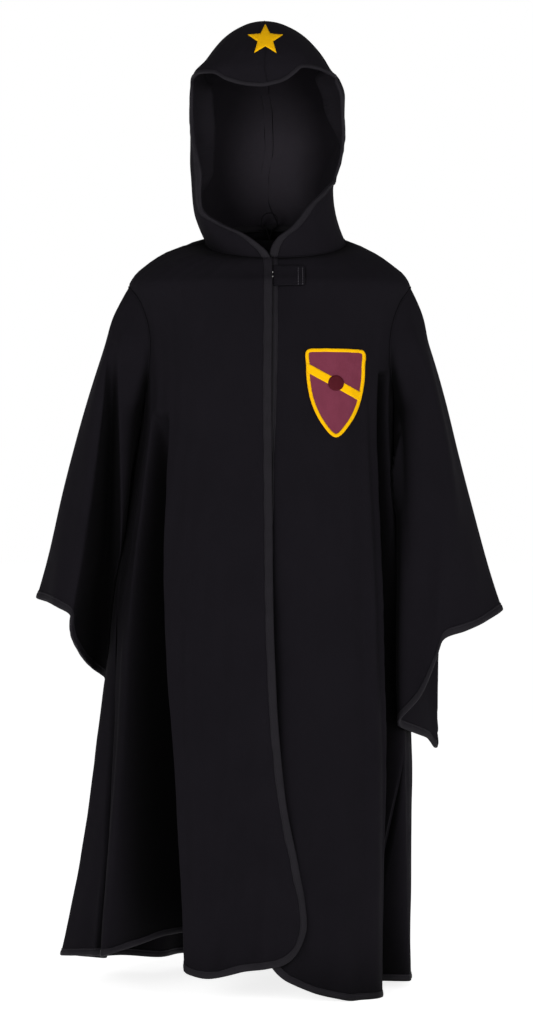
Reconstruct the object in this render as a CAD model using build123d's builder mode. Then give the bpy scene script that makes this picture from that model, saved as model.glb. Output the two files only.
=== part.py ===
"""A child's hooded costume robe, worn-shape and empty, in millimetres.

The robe is cut from one black cloth: a back, two fronts that lap right over left, two flared
sleeves and a two-piece hood with a peaked brim.  Every raw edge is closed with a folded binding.
A hook-and-loop tab closes the neck, a shield appliqué sits on the left chest and a star appliqué
on the brim.

Frame: +Z up, the wearer faces -Y, the wearer's right hand is at -X.  The origin lies under the
neck, level with the lowest point of the hem.

Each cloth piece is a slice of a lofted shell.  A shell is named by its two offsets from the base
surface, so a layer (0, 1.5) is cloth and a layer (2, 4) lies outside it.
"""

import os
from functools import cache
from math import cos, radians, sin

from build123d import *

# ---- driving dimensions -------------------------------------------------------------------
CLOTH = 1.5                     # thickness of the napped robe cloth
BINDING_WIDTH = 10.0            # visible width of the folded edge binding
BINDING_PROUD = 0.9             # how far the binding stands off the cloth on each side
SEAM_GAP = 0.5                  # space left between two cloth pieces that meet at a seam
LAP_LIFT = 3.7                  # the right front lies this far outside the left front
FIT_GAP = 0.08                  # space between a binding and the cloth that it wraps

HEM_Z = 0.0
RIGHT_HEM_Z = 26.0              # the lapped right front hangs this much shorter
UNDERARM_Z = 690.0
SHOULDER_Z = 832.0
CLOSURE_Z = 812.0               # below this height the front edges are free to fold open
NECK_Z = 880.0                  # centre of the neck ring
NECK_TILT = 21.0                # the neck ring drops towards the throat
NECK_HALF_WIDTH = 78.0
NECK_HALF_DEPTH = 65.0
THROAT_Z = 857.0
HOOD_TOP_Z = 1150.0
HOOD_GAP = 4.0                  # seam allowance between the neck ring and the hood
HOOD_OPENING_BACK_Y = -12.0     # side edges of the face opening

SLEEVE_TIP = (279.0, 455.0)     # outer end of the sleeve hem, as (x, z)
SLEEVE_DROP = (212.0, 300.0)    # lower corner of the sleeve hem
SLEEVE_MOUTH_HALF_DEPTH = 62.0

NAP_TAPE = 25.0                 # width of the hook-and-loop patches
TAB_LENGTH = 42.0
TAB_HEIGHT = 30.0
TAB_LOW_Z = 825.0

NECK_TAPE_DROP = 8.0            # how far the tape reaches below the neck seam
LOOP_BORE = 9.0                 # radius of the hole that goes over a coat hook
LOOP_RIBBON = 2.0               # thickness of the folded loop ribbon
LOOP_WIDTH = 6.0
LOOP_TAIL = 12.0
LOOP_BACK_Y = 56.0
LOOP_Z = 918.0
LABEL_THICKNESS = 0.8
SEAM_ALLOWANCE = 8.0
SEAM_THICK = 1.6
HOOD_TAPE_WIDTH = 12.0

BADGE_CENTRE = (77.0, 702.0)
BADGE_BORDER = 4.0

# One row per body section: centre height, tilt, centre x, half width, half depth.
BODY_SECTIONS = [
    (HEM_Z, 0.0, -35.0, 207.0, 150.0),
    (150.0, 0.0, -28.0, 193.0, 141.0),
    (300.0, 0.0, -21.0, 180.0, 131.0),
    (500.0, 0.0, -10.0, 162.0, 115.0),
    (UNDERARM_Z, 0.0, 0.0, 148.0, 99.0),
    (780.0, 0.0, 0.0, 158.0, 88.0),
    (SHOULDER_Z, 0.0, 0.0, 168.0, 77.0),
    (850.0, 7.0, 0.0, 153.0, 73.0),
    (865.0, 14.0, 0.0, 125.0, 69.0),
    (NECK_Z, NECK_TILT, 0.0, NECK_HALF_WIDTH, NECK_HALF_DEPTH),
]

# One row per hood section: centre height, tilt, centre y, half width, half depth.
HOOD_SECTIONS = [
    (NECK_Z + HOOD_GAP, NECK_TILT, 0.0, NECK_HALF_WIDTH, NECK_HALF_DEPTH),
    (922.0, 14.0, 10.0, 86.0, 84.0),
    (965.0, 5.0, 20.0, 93.0, 103.0),
    (1020.0, 0.0, 23.0, 96.0, 112.0),
    (1075.0, 0.0, 20.0, 92.0, 111.0),
    (1115.0, 0.0, 14.0, 77.0, 96.0),
    (1138.0, 0.0, 8.0, 50.0, 66.0),
    (HOOD_TOP_Z, 0.0, 4.0, 16.0, 24.0),
]

FAR = 700.0                     # longer than any half of the robe


# ---- lofted shells ------------------------------------------------------------------------
def tilted(x, y, z, tilt):
    """A level plane tipped up at the back by tilt degrees."""
    return Plane(
        origin=(x, y, z),
        x_dir=(1, 0, 0),
        z_dir=(0, -sin(radians(tilt)), cos(radians(tilt))),
    )


@cache
def body_solid(offset):
    """Everything inside the body surface, grown outwards by offset."""
    with BuildPart() as solid:
        for z, tilt, x, half_width, half_depth in BODY_SECTIONS:
            with BuildSketch(tilted(x, 0, z, tilt)):
                Ellipse(half_width + offset, half_depth + offset)
        loft(ruled=True)
    return solid.part


@cache
def hood_solid(offset):
    """Everything inside the hood surface, grown outwards by offset."""
    with BuildPart() as solid:
        for z, tilt, y, half_width, half_depth in HOOD_SECTIONS:
            crown_rise = offset if z == HOOD_TOP_Z else 0.0
            with BuildSketch(tilted(0, y, z + crown_rise, tilt)):
                Ellipse(half_width + offset, half_depth + offset)
        loft()
    return solid.part


def sleeve_plane(side, inner, outer):
    """The plane of a sleeve section whose long axis runs from inner to outer, both (x, z)."""
    dx = outer[0] - inner[0]
    dz = outer[1] - inner[1]
    middle = ((inner[0] + outer[0]) / 2, (inner[1] + outer[1]) / 2)
    return Plane(
        origin=(side * middle[0], 0, middle[1]),
        x_dir=(side * dx, 0, dz),
        z_dir=(side * dz, 0, -dx),
    )


def span(inner, outer):
    """Half the distance between two (x, z) points."""
    return ((outer[0] - inner[0]) ** 2 + (outer[1] - inner[1]) ** 2) ** 0.5 / 2


# Inner and outer end of each sleeve section as (x, z), and its half depth.
SLEEVE_SECTIONS = [
    ((104.0, 698.0), (104.0, 828.0), 58.0),
    ((151.0, 690.0), (170.0, 833.0), 61.0),
    ((176.0, 560.0), (229.0, 640.0), 66.0),
    (SLEEVE_DROP, SLEEVE_TIP, SLEEVE_MOUTH_HALF_DEPTH),
]


@cache
def sleeve_solid(side, offset):
    """Everything inside one sleeve, grown outwards by offset."""
    with BuildPart() as solid:
        for inner, outer, half_depth in SLEEVE_SECTIONS:
            with BuildSketch(sleeve_plane(side, inner, outer)):
                Ellipse(span(inner, outer) + offset, half_depth + offset)
        loft(ruled=True)
    return solid.part


@cache
def body_layer(low, high):
    with BuildPart() as layer:
        add(body_solid(high))
        add(body_solid(low), mode=Mode.SUBTRACT)
    return layer.part


@cache
def hood_layer(low, high):
    with BuildPart() as layer:
        add(hood_solid(high))
        add(hood_solid(low), mode=Mode.SUBTRACT)
    return layer.part


@cache
def sleeve_layer(side, low, high):
    """A sleeve shell, trimmed where it meets the body."""
    with BuildPart() as layer:
        add(sleeve_solid(side, high))
        add(sleeve_solid(side, low), mode=Mode.SUBTRACT)
        add(body_solid(LAP_LIFT + CLOTH + 2), mode=Mode.SUBTRACT)
    return layer.part


# ---- outlines seen from the front, as (x, z) ------------------------------------------------
RIGHT_EDGE_X = 2.0
RIGHT_EDGE_BOTTOM_X = 48.0
LEFT_EDGE_X = -6.0
RIGHT_CORNER = 34.0             # radius of the rounded corner where front edge meets hem
LEFT_CORNER = 80.0
RIGHT_FOLD_TOP_X = -42.0        # where the free part of each front starts, below the closure
LEFT_FOLD_TOP_X = 12.0
RIGHT_FOLD_HEM_X = -130.0
LEFT_FOLD_HEM_X = 100.0
FOLD_GAP = 0.6


def front_face(points, corner_radii, inset):
    """A face in the front plane with some corners rounded, shrunk by inset or grown if negative."""
    with BuildSketch(Plane.XZ) as outline:
        with BuildLine():
            Polyline(*points, close=True)
        make_face()
        for corner, radius in corner_radii.items():
            x, z = points[corner]
            fillet(outline.vertices().sort_by_distance((x, z, 0))[0], radius)
        if inset:
            offset(amount=-inset)
    return outline.sketch


def right_front_outline(inset=0.0):
    """The lapped right front: straight edge above, sweeping across the centre near the hem."""
    points = [
        (RIGHT_EDGE_X, NECK_Z + 60),
        (RIGHT_EDGE_X, 250),
        (RIGHT_EDGE_BOTTOM_X, RIGHT_HEM_Z + 20),
        (-90, RIGHT_HEM_Z),
        (-FAR, RIGHT_HEM_Z),
        (-FAR, NECK_Z + 60),
    ]
    return front_face(points, {1: 600.0, 2: RIGHT_CORNER, 3: 300.0}, inset)


def left_front_outline(inset=0.0):
    """The left front, with a large rounded corner that hides under the right front."""
    points = [
        (LEFT_EDGE_X, NECK_Z + 60),
        (LEFT_EDGE_X, HEM_Z),
        (FAR, HEM_Z),
        (FAR, NECK_Z + 60),
    ]
    return front_face(points, {1: LEFT_CORNER}, inset)


def face_opening(grow=0.0):
    """The opening of the hood: a peaked brim dips in the middle, the edges meet at the throat."""
    right_side = [(-92, 1110), (-106, 1050), (-100, 985), (-66, 925), (-24, 884)]
    left_side = [(-x, z) for x, z in reversed(right_side)]
    points = [(0, 1056), *right_side, (0, THROAT_Z - 8), *left_side]
    return front_face(points, {0: 70.0, 1: 24.0, 3: 60.0, 4: 60.0, 8: 60.0, 9: 60.0, 11: 24.0}, -grow)


@cache
def opening_cut(grow):
    """The block that opens the front of the hood, grown all round by grow."""
    with BuildPart() as cut:
        add(face_opening(grow))
        extrude(amount=FAR, dir=(0, -1, 0))
        with Locations((0, HOOD_OPENING_BACK_Y + grow, 0)):
            Box(
                3 * FAR, FAR, 4 * FAR,
                align=(Align.CENTER, Align.MAX, Align.CENTER),
                mode=Mode.INTERSECT,
            )
    return cut.part


# ---- regions --------------------------------------------------------------------------------
def half_space(x=None, y=None, z=None, keep_above=True):
    """A large block on one side of a plane square to one axis."""
    at = x if x is not None else y if y is not None else z
    towards = Align.MIN if keep_above else Align.MAX
    align = [Align.CENTER] * 3
    place = [0.0, 0.0, 0.0]
    axis = 0 if x is not None else 1 if y is not None else 2
    align[axis] = towards
    place[axis] = at
    with BuildPart() as block:
        with Locations(tuple(place)):
            Box(4 * FAR, 4 * FAR, 4 * FAR, align=tuple(align))
    return block.part


def prism(sketch):
    """A front outline pushed forwards from just in front of the side seams."""
    with BuildPart() as block:
        add(sketch)
        extrude(amount=FAR, dir=(0, -1, 0))
        add(half_space(y=-SEAM_GAP / 2, keep_above=False), mode=Mode.INTERSECT)
    return block.part


def fold_side(top_x, hem_x, towards, gap):
    """The block between a front fold line and the far side that towards points to."""
    with BuildSketch(Plane.XZ) as side:
        with BuildLine():
            Polyline(
                (top_x + gap * towards, CLOSURE_Z - FOLD_GAP),
                (hem_x + gap * towards, HEM_Z - 20),
                (hem_x + towards * FAR, HEM_Z - 20),
                (hem_x + towards * FAR, CLOSURE_Z - FOLD_GAP),
                close=True,
            )
        make_face()
    with BuildPart() as block:
        add(side.sketch)
        extrude(amount=FAR, dir=(0, -1, 0))
    return block.part


def armhole_cut(side):
    """The hole in the body that the sleeve opens into."""
    with BuildPart() as cut:
        with BuildSketch(Plane.YZ.offset(side * 100)):
            with Locations((0, (UNDERARM_Z + SHOULDER_Z) / 2 - 2)):
                Ellipse(55, (SHOULDER_Z - UNDERARM_Z) / 2 - 8)
        extrude(amount=side * 150)
    return cut.part


def cut_to(solid, *regions, minus=()):
    """The part of solid that lies in every region and in none of minus."""
    with BuildPart() as piece:
        add(solid)
        for region in regions:
            add(region, mode=Mode.INTERSECT)
        for region in minus:
            add(region, mode=Mode.SUBTRACT)
    return piece.part


def keep(name, part):
    """Labels a finished piece and writes it out."""
    part.label = name
    export_step(part, f"parts/{name}.step")


os.makedirs("parts", exist_ok=True)

# ---- layers and regions that several pieces share --------------------------------------------
UNDER = (0.0, CLOTH)                                  # back, left front, sleeves, hood
OVER = (LAP_LIFT, LAP_LIFT + CLOTH)                   # right front, which laps over the left
TUCK = CLOTH - 0.1 * CLOTH                            # cloth stops this far short of a bound edge

RIGHT_FREE = fold_side(RIGHT_FOLD_TOP_X, RIGHT_FOLD_HEM_X, 1, 0.0)
RIGHT_FREE_GROWN = fold_side(RIGHT_FOLD_TOP_X, RIGHT_FOLD_HEM_X, 1, -FOLD_GAP)
LEFT_FREE = fold_side(LEFT_FOLD_TOP_X, LEFT_FOLD_HEM_X, -1, 0.0)
LEFT_FREE_GROWN = fold_side(LEFT_FOLD_TOP_X, LEFT_FOLD_HEM_X, -1, -FOLD_GAP)
FRONT_HALF = half_space(y=-SEAM_GAP / 2, keep_above=False)
BACK_HALF = half_space(y=SEAM_GAP / 2)
ABOVE_CLOSURE = half_space(z=CLOSURE_Z)
BELOW_UNDERARM = half_space(z=UNDERARM_Z - 20, keep_above=False)


def bound_cloth(layer, outline):
    """The cloth of a front, stopping just inside its bound edge."""
    return cut_to(body_layer(*layer), prism(outline(TUCK)))


def edge_binding(layer, outline):
    """The folded strip that wraps the edge of a front."""
    low, high = layer
    return cut_to(
        body_layer(low - BINDING_PROUD, high + BINDING_PROUD),
        prism(outline()),
        minus=(
            prism(outline(BINDING_WIDTH)),
            cut_to(body_layer(low - FIT_GAP, high + FIT_GAP), prism(outline(TUCK - FIT_GAP))),
        ),
    )


# ---- fronts and back ---------------------------------------------------------------------------
right_cloth = bound_cloth(OVER, right_front_outline)
right_binding = edge_binding(OVER, right_front_outline)
left_cloth = bound_cloth(UNDER, left_front_outline)
left_binding = edge_binding(UNDER, left_front_outline)

keep("front_panel_right", cut_to(right_cloth, minus=(RIGHT_FREE_GROWN, armhole_cut(-1))))
keep("front_panel_left", cut_to(left_cloth, minus=(LEFT_FREE_GROWN, armhole_cut(1))))
keep("front_flap_right", cut_to(right_cloth, RIGHT_FREE))
keep("front_flap_left", cut_to(left_cloth, LEFT_FREE))

keep("front_binding_right", cut_to(right_binding, RIGHT_FREE))
keep("front_binding_left", cut_to(left_binding, LEFT_FREE))
keep("neck_edge_binding_right", cut_to(right_binding, ABOVE_CLOSURE))
keep("neck_edge_binding_left", cut_to(left_binding, ABOVE_CLOSURE))
keep("side_hem_binding_right", cut_to(right_binding, BELOW_UNDERARM, minus=(RIGHT_FREE_GROWN,)))
keep("side_hem_binding_left", cut_to(left_binding, BELOW_UNDERARM, minus=(LEFT_FREE_GROWN,)))

back_above_hem = half_space(z=HEM_Z + TUCK)
back_cloth = cut_to(
    body_layer(*UNDER), BACK_HALF, back_above_hem, minus=(armhole_cut(-1), armhole_cut(1))
)
keep("back_panel", back_cloth)

hem_band = half_space(z=HEM_Z + BINDING_WIDTH, keep_above=False)
back_wrap = cut_to(
    body_layer(-FIT_GAP, CLOTH + FIT_GAP), half_space(z=HEM_Z + TUCK - FIT_GAP)
)
keep(
    "back_hem_binding",
    cut_to(body_layer(-BINDING_PROUD, CLOTH + BINDING_PROUD), BACK_HALF, hem_band, minus=(back_wrap,)),
)

# ---- neck, labels and hanging loop ---------------------------------------------------------------
with BuildPart() as neck_seam_tape:
    with BuildSketch(tilted(0, 0, NECK_Z, NECK_TILT).offset(-NECK_TAPE_DROP)):
        Ellipse(NECK_HALF_WIDTH - 1.0, NECK_HALF_DEPTH - 1.0)
        Ellipse(NECK_HALF_WIDTH - 2.0, NECK_HALF_DEPTH - 2.0, mode=Mode.SUBTRACT)
    extrude(amount=NECK_TAPE_DROP + HOOD_GAP - 0.8)
    add(half_space(y=0.0), mode=Mode.INTERSECT)
keep("neck_seam_tape", neck_seam_tape.part)

with BuildPart() as hanging_loop:
    with BuildSketch(Plane.XZ.offset(-LOOP_BACK_Y)):
        with Locations((0, LOOP_Z)):
            Circle(LOOP_BORE + LOOP_RIBBON)
        with Locations((0, LOOP_Z - LOOP_BORE)):
            Rectangle(LOOP_BORE * 1.4, LOOP_TAIL, align=(Align.CENTER, Align.MAX))
        with Locations((0, LOOP_Z)):
            Circle(LOOP_BORE, mode=Mode.SUBTRACT)
    extrude(amount=LOOP_WIDTH)
keep("hanging_loop", hanging_loop.part)

with BuildPart() as neck_label:
    with Locations((0, LOOP_BACK_Y, LOOP_Z - LOOP_BORE - LOOP_TAIL - 2)):
        Box(44, LABEL_THICKNESS, 20, align=(Align.CENTER, Align.MAX, Align.MAX))
keep("neck_label", neck_label.part)

with BuildPart() as care_label:
    with Locations((136, 6, 250)):
        Box(26, LABEL_THICKNESS, 44)
keep("care_label", care_label.part)

# ---- seam allowances inside the body -------------------------------------------------------------
seam_slab = cut_to(half_space(y=-SEAM_THICK / 2), half_space(y=SEAM_THICK / 2, keep_above=False))
side_allowance = cut_to(body_layer(-SEAM_GAP - SEAM_ALLOWANCE, -SEAM_GAP), seam_slab)
for side_name, keep_left in (("right", False), ("left", True)):
    keep(
        f"side_seam_{side_name}",
        cut_to(
            side_allowance,
            half_space(x=0.0, keep_above=keep_left),
            half_space(z=RIGHT_HEM_Z + BINDING_WIDTH + 6),
            half_space(z=UNDERARM_Z - 4, keep_above=False),
        ),
    )
    shoulder_start = (NECK_HALF_WIDTH + 12) if keep_left else -(NECK_HALF_WIDTH + 12)
    keep(
        f"shoulder_seam_{side_name}",
        cut_to(
            side_allowance,
            half_space(x=shoulder_start, keep_above=keep_left),
            half_space(z=SHOULDER_Z + 2),
        ),
    )

# ---- closure -------------------------------------------------------------------------------------
TAB_START_X = RIGHT_EDGE_X + SEAM_GAP


def front_block(left, right, low, high, corner=0.0):
    """A rectangle seen from the front, as a block that runs forwards."""
    with BuildSketch(Plane.XZ) as outline:
        with Locations(((left + right) / 2, (low + high) / 2)):
            RectangleRounded(right - left, high - low, corner)
    return prism(outline.sketch)


tab_end_x = TAB_START_X + TAB_LENGTH
patch = front_block(
    tab_end_x - NAP_TAPE - 3, tab_end_x - 3, TAB_LOW_Z + 3, TAB_LOW_Z + TAB_HEIGHT - 3, 1.5
)
keep("loop_patch", cut_to(body_layer(CLOTH + 0.1, CLOTH + 1.0), patch))
keep("hook_patch", cut_to(body_layer(CLOTH + 1.15, LAP_LIFT - 0.1), patch))
tab_block = front_block(TAB_START_X, tab_end_x, TAB_LOW_Z, TAB_LOW_Z + TAB_HEIGHT, 3.0)
keep("closure_tab", cut_to(body_layer(*OVER), tab_block))
stitch_outer = front_block(
    tab_end_x - 9, tab_end_x - 3, TAB_LOW_Z + 3, TAB_LOW_Z + TAB_HEIGHT - 3, 1.0
)
stitch_inner = front_block(
    tab_end_x - 8.2, tab_end_x - 3.8, TAB_LOW_Z + 3.8, TAB_LOW_Z + TAB_HEIGHT - 3.8, 0.5
)
keep(
    "tab_stitching",
    cut_to(
        body_layer(OVER[1] + 0.05, OVER[1] + 0.55), stitch_outer, minus=(stitch_inner,)
    ),
)


# ---- shield appliqué -----------------------------------------------------------------------------
def badge(outline):
    """Moves a badge outline, drawn about its own centre, onto the left chest."""
    with BuildSketch(Plane.XZ) as placed:
        with Locations(BADGE_CENTRE):
            add(outline)
    return prism(placed.sketch)


def closed_face(points):
    with BuildSketch() as face:
        with BuildLine():
            Polyline(*points, close=True)
        make_face()
    return face.sketch


SHIELD = [(-33, 45), (33, 45), (33, 8), (28, -17), (17, -38), (0, -55), (-17, -38), (-28, -17), (-33, 8)]
BEND = [(-40, 22), (-40, 36), (40, -8), (40, -22)]      # the plain diagonal band across the shield
ROUNDEL_RADIUS = 9.0
ROUNDEL_PLACE = (0.0, 7.0)

shield_sketch = closed_face(SHIELD)
with BuildSketch() as shield_design:
    add(shield_sketch)
    offset(amount=-BADGE_BORDER, mode=Mode.SUBTRACT)
    add(closed_face(BEND))
    add(shield_sketch, mode=Mode.INTERSECT)
with BuildSketch() as roundel:
    with Locations(ROUNDEL_PLACE):
        Circle(ROUNDEL_RADIUS)
keep("shield_field", cut_to(body_layer(CLOTH + 0.1, CLOTH + 0.9), badge(shield_sketch)))
keep("shield_frame", cut_to(body_layer(CLOTH + 1.0, CLOTH + 1.7), badge(shield_design.sketch)))
keep("shield_roundel", cut_to(body_layer(CLOTH + 1.8, CLOTH + 2.4), badge(roundel.sketch)))

# ---- hood ----------------------------------------------------------------------------------------
hood_cloth = cut_to(hood_layer(*UNDER), minus=(opening_cut(TUCK),))
keep("hood_panel_right", cut_to(hood_cloth, half_space(x=-SEAM_GAP / 2, keep_above=False)))
keep("hood_panel_left", cut_to(hood_cloth, half_space(x=SEAM_GAP / 2)))
hood_wrap = cut_to(hood_layer(-FIT_GAP, CLOTH + FIT_GAP), minus=(opening_cut(TUCK - FIT_GAP),))
keep(
    "hood_edge_binding",
    cut_to(
        hood_layer(-BINDING_PROUD, CLOTH + BINDING_PROUD),
        opening_cut(BINDING_WIDTH),
        minus=(opening_cut(0.0), hood_wrap),
    ),
)
keep(
    "hood_seam_tape",
    cut_to(
        hood_layer(-1.6, -0.5),
        half_space(x=-HOOD_TAPE_WIDTH / 2),
        half_space(x=HOOD_TAPE_WIDTH / 2, keep_above=False),
        half_space(y=0.0),
        half_space(z=LOOP_Z + 30),
    ),
)

STAR_PLACE = (-5.0, 1119.0)
STAR_OUTER, STAR_INNER = 21.0, 9.0


def star_points(place, outer, inner):
    """The corners of a plain five-pointed star, clockwise from its top point."""
    corners = []
    for turn in range(10):
        reach = inner if turn % 2 else outer
        angle = radians(36 * turn)
        corners.append((place[0] + reach * sin(angle), place[1] + reach * cos(angle)))
    return corners


with BuildSketch(Plane.XZ) as star_outline:
    add(closed_face(star_points(STAR_PLACE, STAR_OUTER, STAR_INNER)))
keep("hood_star", cut_to(hood_layer(CLOTH + 0.1, CLOTH + 0.9), prism(star_outline.sketch)))


# ---- sleeves -------------------------------------------------------------------------------------
def above_sleeve_hem(side, inset):
    """The block on the shoulder side of a line that runs inset inside the sleeve hem."""
    along = span(SLEEVE_DROP, SLEEVE_TIP) * 2
    dx = (SLEEVE_TIP[0] - SLEEVE_DROP[0]) / along
    dz = (SLEEVE_TIP[1] - SLEEVE_DROP[1]) / along
    middle_x = (SLEEVE_TIP[0] + SLEEVE_DROP[0]) / 2 - dz * inset
    middle_z = (SLEEVE_TIP[1] + SLEEVE_DROP[1]) / 2 + dx * inset
    cutting = Plane(
        origin=(side * middle_x, 0, middle_z), x_dir=(0, 1, 0), z_dir=(-side * dz, 0, dx)
    )
    with BuildPart() as block:
        with BuildSketch(cutting):
            Rectangle(2 * FAR, 2 * FAR)
        extrude(amount=FAR)
    return block.part


for side_name, side in (("right", -1), ("left", 1)):
    keep(
        f"sleeve_{side_name}",
        cut_to(sleeve_layer(side, *UNDER), above_sleeve_hem(side, TUCK)),
    )
    sleeve_wrap = cut_to(
        sleeve_layer(side, -FIT_GAP, CLOTH + FIT_GAP), above_sleeve_hem(side, TUCK - FIT_GAP)
    )
    keep(
        f"sleeve_hem_binding_{side_name}",
        cut_to(
            sleeve_layer(side, -BINDING_PROUD, CLOTH + BINDING_PROUD),
            minus=(above_sleeve_hem(side, BINDING_WIDTH), sleeve_wrap),
        ),
    )
    seam_start = LAP_LIFT + CLOTH + 2.4
    keep(
        f"armhole_seam_{side_name}",
        cut_to(
            sleeve_layer(side, -SEAM_ALLOWANCE * 0.6, -SEAM_GAP),
            body_solid(seam_start + 2.0),
            minus=(body_solid(seam_start),),
        ),
    )
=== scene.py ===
import math

import bmesh
import bpy
import numpy as np
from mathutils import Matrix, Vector
from mathutils.bvhtree import BVHTree
from mathutils.geometry import delaunay_2d_cdt


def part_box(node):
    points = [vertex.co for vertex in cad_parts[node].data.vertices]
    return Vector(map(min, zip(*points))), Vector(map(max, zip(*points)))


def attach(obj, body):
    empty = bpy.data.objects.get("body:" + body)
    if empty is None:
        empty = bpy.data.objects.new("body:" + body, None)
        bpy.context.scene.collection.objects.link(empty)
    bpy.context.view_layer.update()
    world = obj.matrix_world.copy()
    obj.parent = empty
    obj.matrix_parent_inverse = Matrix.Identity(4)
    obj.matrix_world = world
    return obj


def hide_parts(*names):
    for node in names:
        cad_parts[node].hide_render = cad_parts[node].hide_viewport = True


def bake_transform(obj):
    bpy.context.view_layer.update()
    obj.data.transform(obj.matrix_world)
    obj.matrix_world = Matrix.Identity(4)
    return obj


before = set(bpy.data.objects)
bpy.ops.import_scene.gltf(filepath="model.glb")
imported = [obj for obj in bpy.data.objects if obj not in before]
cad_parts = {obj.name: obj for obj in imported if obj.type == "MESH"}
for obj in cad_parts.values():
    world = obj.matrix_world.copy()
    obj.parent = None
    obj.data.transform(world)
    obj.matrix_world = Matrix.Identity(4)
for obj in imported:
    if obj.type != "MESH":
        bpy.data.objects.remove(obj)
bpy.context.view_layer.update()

MM = 0.001
CLOTH = 0.0016
rng = np.random.default_rng(7)


# ---- curves and grids ------------------------------------------------------------------------
def smooth(keys, values, q):
    """A smooth curve through values at keys that never overshoots them."""
    x, y, q = np.asarray(keys, float), np.asarray(values, float), np.asarray(q, float)
    flat = y.ndim == 1
    if flat:
        y = y[:, None]
    h = np.diff(x)[:, None]
    d = np.diff(y, axis=0) / h
    m = np.zeros_like(y)
    w1, w2 = 2 * h[1:] + h[:-1], h[1:] + 2 * h[:-1]
    same = d[1:] * d[:-1] > 0
    with np.errstate(divide="ignore", invalid="ignore"):
        inner = (w1 + w2) / (w1 / d[:-1] + w2 / d[1:])
    m[1:-1] = np.where(same, inner, 0.0)
    m[0], m[-1] = d[0], d[-1]
    shape = q.shape
    q = np.clip(q.ravel(), x[0], x[-1])
    i = np.clip(np.searchsorted(x, q, "right") - 1, 0, len(x) - 2)
    t = ((q - x[i]) / (x[i + 1] - x[i]))[:, None]
    hh = (x[i + 1] - x[i])[:, None]
    out = (
        (2 * t**3 - 3 * t**2 + 1) * y[i]
        + (t**3 - 2 * t**2 + t) * hh * m[i]
        + (-2 * t**3 + 3 * t**2) * y[i + 1]
        + (t**3 - t**2) * hh * m[i + 1]
    )
    return out[:, 0].reshape(shape) if flat else out.reshape(shape + (y.shape[1],))


def through(points, t, closed=False):
    """Catmull-Rom through points at t in 0..n-1, or 0..n for a closed loop."""
    p = np.asarray(points, float)
    n = len(p)
    t = np.asarray(t, float)
    if closed:
        i = np.floor(t).astype(int)
        a, b, c, d = p[(i - 1) % n], p[i % n], p[(i + 1) % n], p[(i + 2) % n]
    else:
        pad = np.concatenate([[2 * p[0] - p[1]], p, [2 * p[-1] - p[-2]]])
        i = np.clip(np.floor(t).astype(int), 0, n - 2)
        a, b, c, d = pad[i], pad[i + 1], pad[i + 2], pad[i + 3]
    u = (t - i)[..., None]
    return 0.5 * (
        2 * b + (c - a) * u + (2 * a - 5 * b + 4 * c - d) * u**2 + (3 * b - a - 3 * c + d) * u**3
    )


def step(x):
    x = np.clip(x, 0.0, 1.0)
    return x * x * (3 - 2 * x)


def unit(v):
    return v / np.maximum(np.linalg.norm(v, axis=-1, keepdims=True), 1e-12)


def ripple(u, v, seed, octaves=4):
    """Slow, cloth-like unevenness, about -1 to 1, the same on every run."""
    r = np.random.default_rng(seed)
    out = np.zeros(np.broadcast(u, v).shape)
    for k in range(octaves):
        f = 1.7**k
        au, av, ph = r.uniform(0.6, 1.4) * f, r.uniform(0.25, 0.6) * f, r.uniform(0, 6.28, 2)
        out += np.sin(u * au + 1.3 * np.sin(v * av + ph[0]) + ph[1]) / (1.35**k)
    return out / 2.2


def mesh_object(name, verts, faces, material, uv=None):
    me = bpy.data.meshes.new(name)
    me.from_pydata([tuple(v) for v in verts], [], [tuple(f) for f in faces])
    me.update()
    if uv is not None:
        layer = me.uv_layers.new(name="cloth")
        loops = np.zeros(len(me.loops), int)
        me.loops.foreach_get("vertex_index", loops)
        layer.data.foreach_set("uv", np.asarray(uv, np.float32)[loops].ravel())
    obj = bpy.data.objects.new(name, me)
    bpy.context.scene.collection.objects.link(obj)
    me.materials.append(material)
    me.polygons.foreach_set("use_smooth", [True] * len(me.polygons))
    return obj


def grid_faces(rows, cols, wrap=False, start=0, flip=False):
    i, j = np.meshgrid(np.arange(rows - 1), np.arange(cols if wrap else cols - 1), indexing="ij")
    k = (j + 1) % cols
    quad = np.stack([i * cols + j, i * cols + k, (i + 1) * cols + k, (i + 1) * cols + j], -1)
    quad = quad.reshape(-1, 4) + start
    return quad[:, ::-1] if flip else quad


def grid_normals(g, wrap=False):
    """Unit normals of a grid (rows, cols, 3), rows running down and cols to the wearer's left."""
    down = np.gradient(g, axis=0)
    if wrap:
        across = (np.roll(g, -1, 1) - np.roll(g, 1, 1)) / 2
    else:
        across = np.gradient(g, axis=1)
    return unit(np.cross(down, across))


def apply_modifiers(obj):
    deps = bpy.context.evaluated_depsgraph_get()
    me = bpy.data.meshes.new_from_object(obj.evaluated_get(deps))
    old = obj.data
    obj.modifiers.clear()
    obj.data = me
    bpy.data.meshes.remove(old)
    me.name = obj.name
    me.polygons.foreach_set("use_smooth", [True] * len(me.polygons))
    return obj


def thicken(obj, thickness=CLOTH, inside=None):
    """Turns a single sheet into cloth, keeping its outer face where it is."""
    m = obj.modifiers.new("thick", "SOLIDIFY")
    m.thickness = thickness
    m.offset = -1.0
    m.use_even_offset = False
    if inside is not None:
        obj.data.materials.append(inside)
        m.material_offset = 1
    return apply_modifiers(obj)


def sheet(name, g, material, wrap=False, thickness=CLOTH):
    """Cloth from a grid of points. Positions carry the weave, so no UVs are needed."""
    rows, cols = g.shape[:2]
    obj = mesh_object(name, g.reshape(-1, 3), grid_faces(rows, cols, wrap), material)
    return thicken(obj, thickness)


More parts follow.
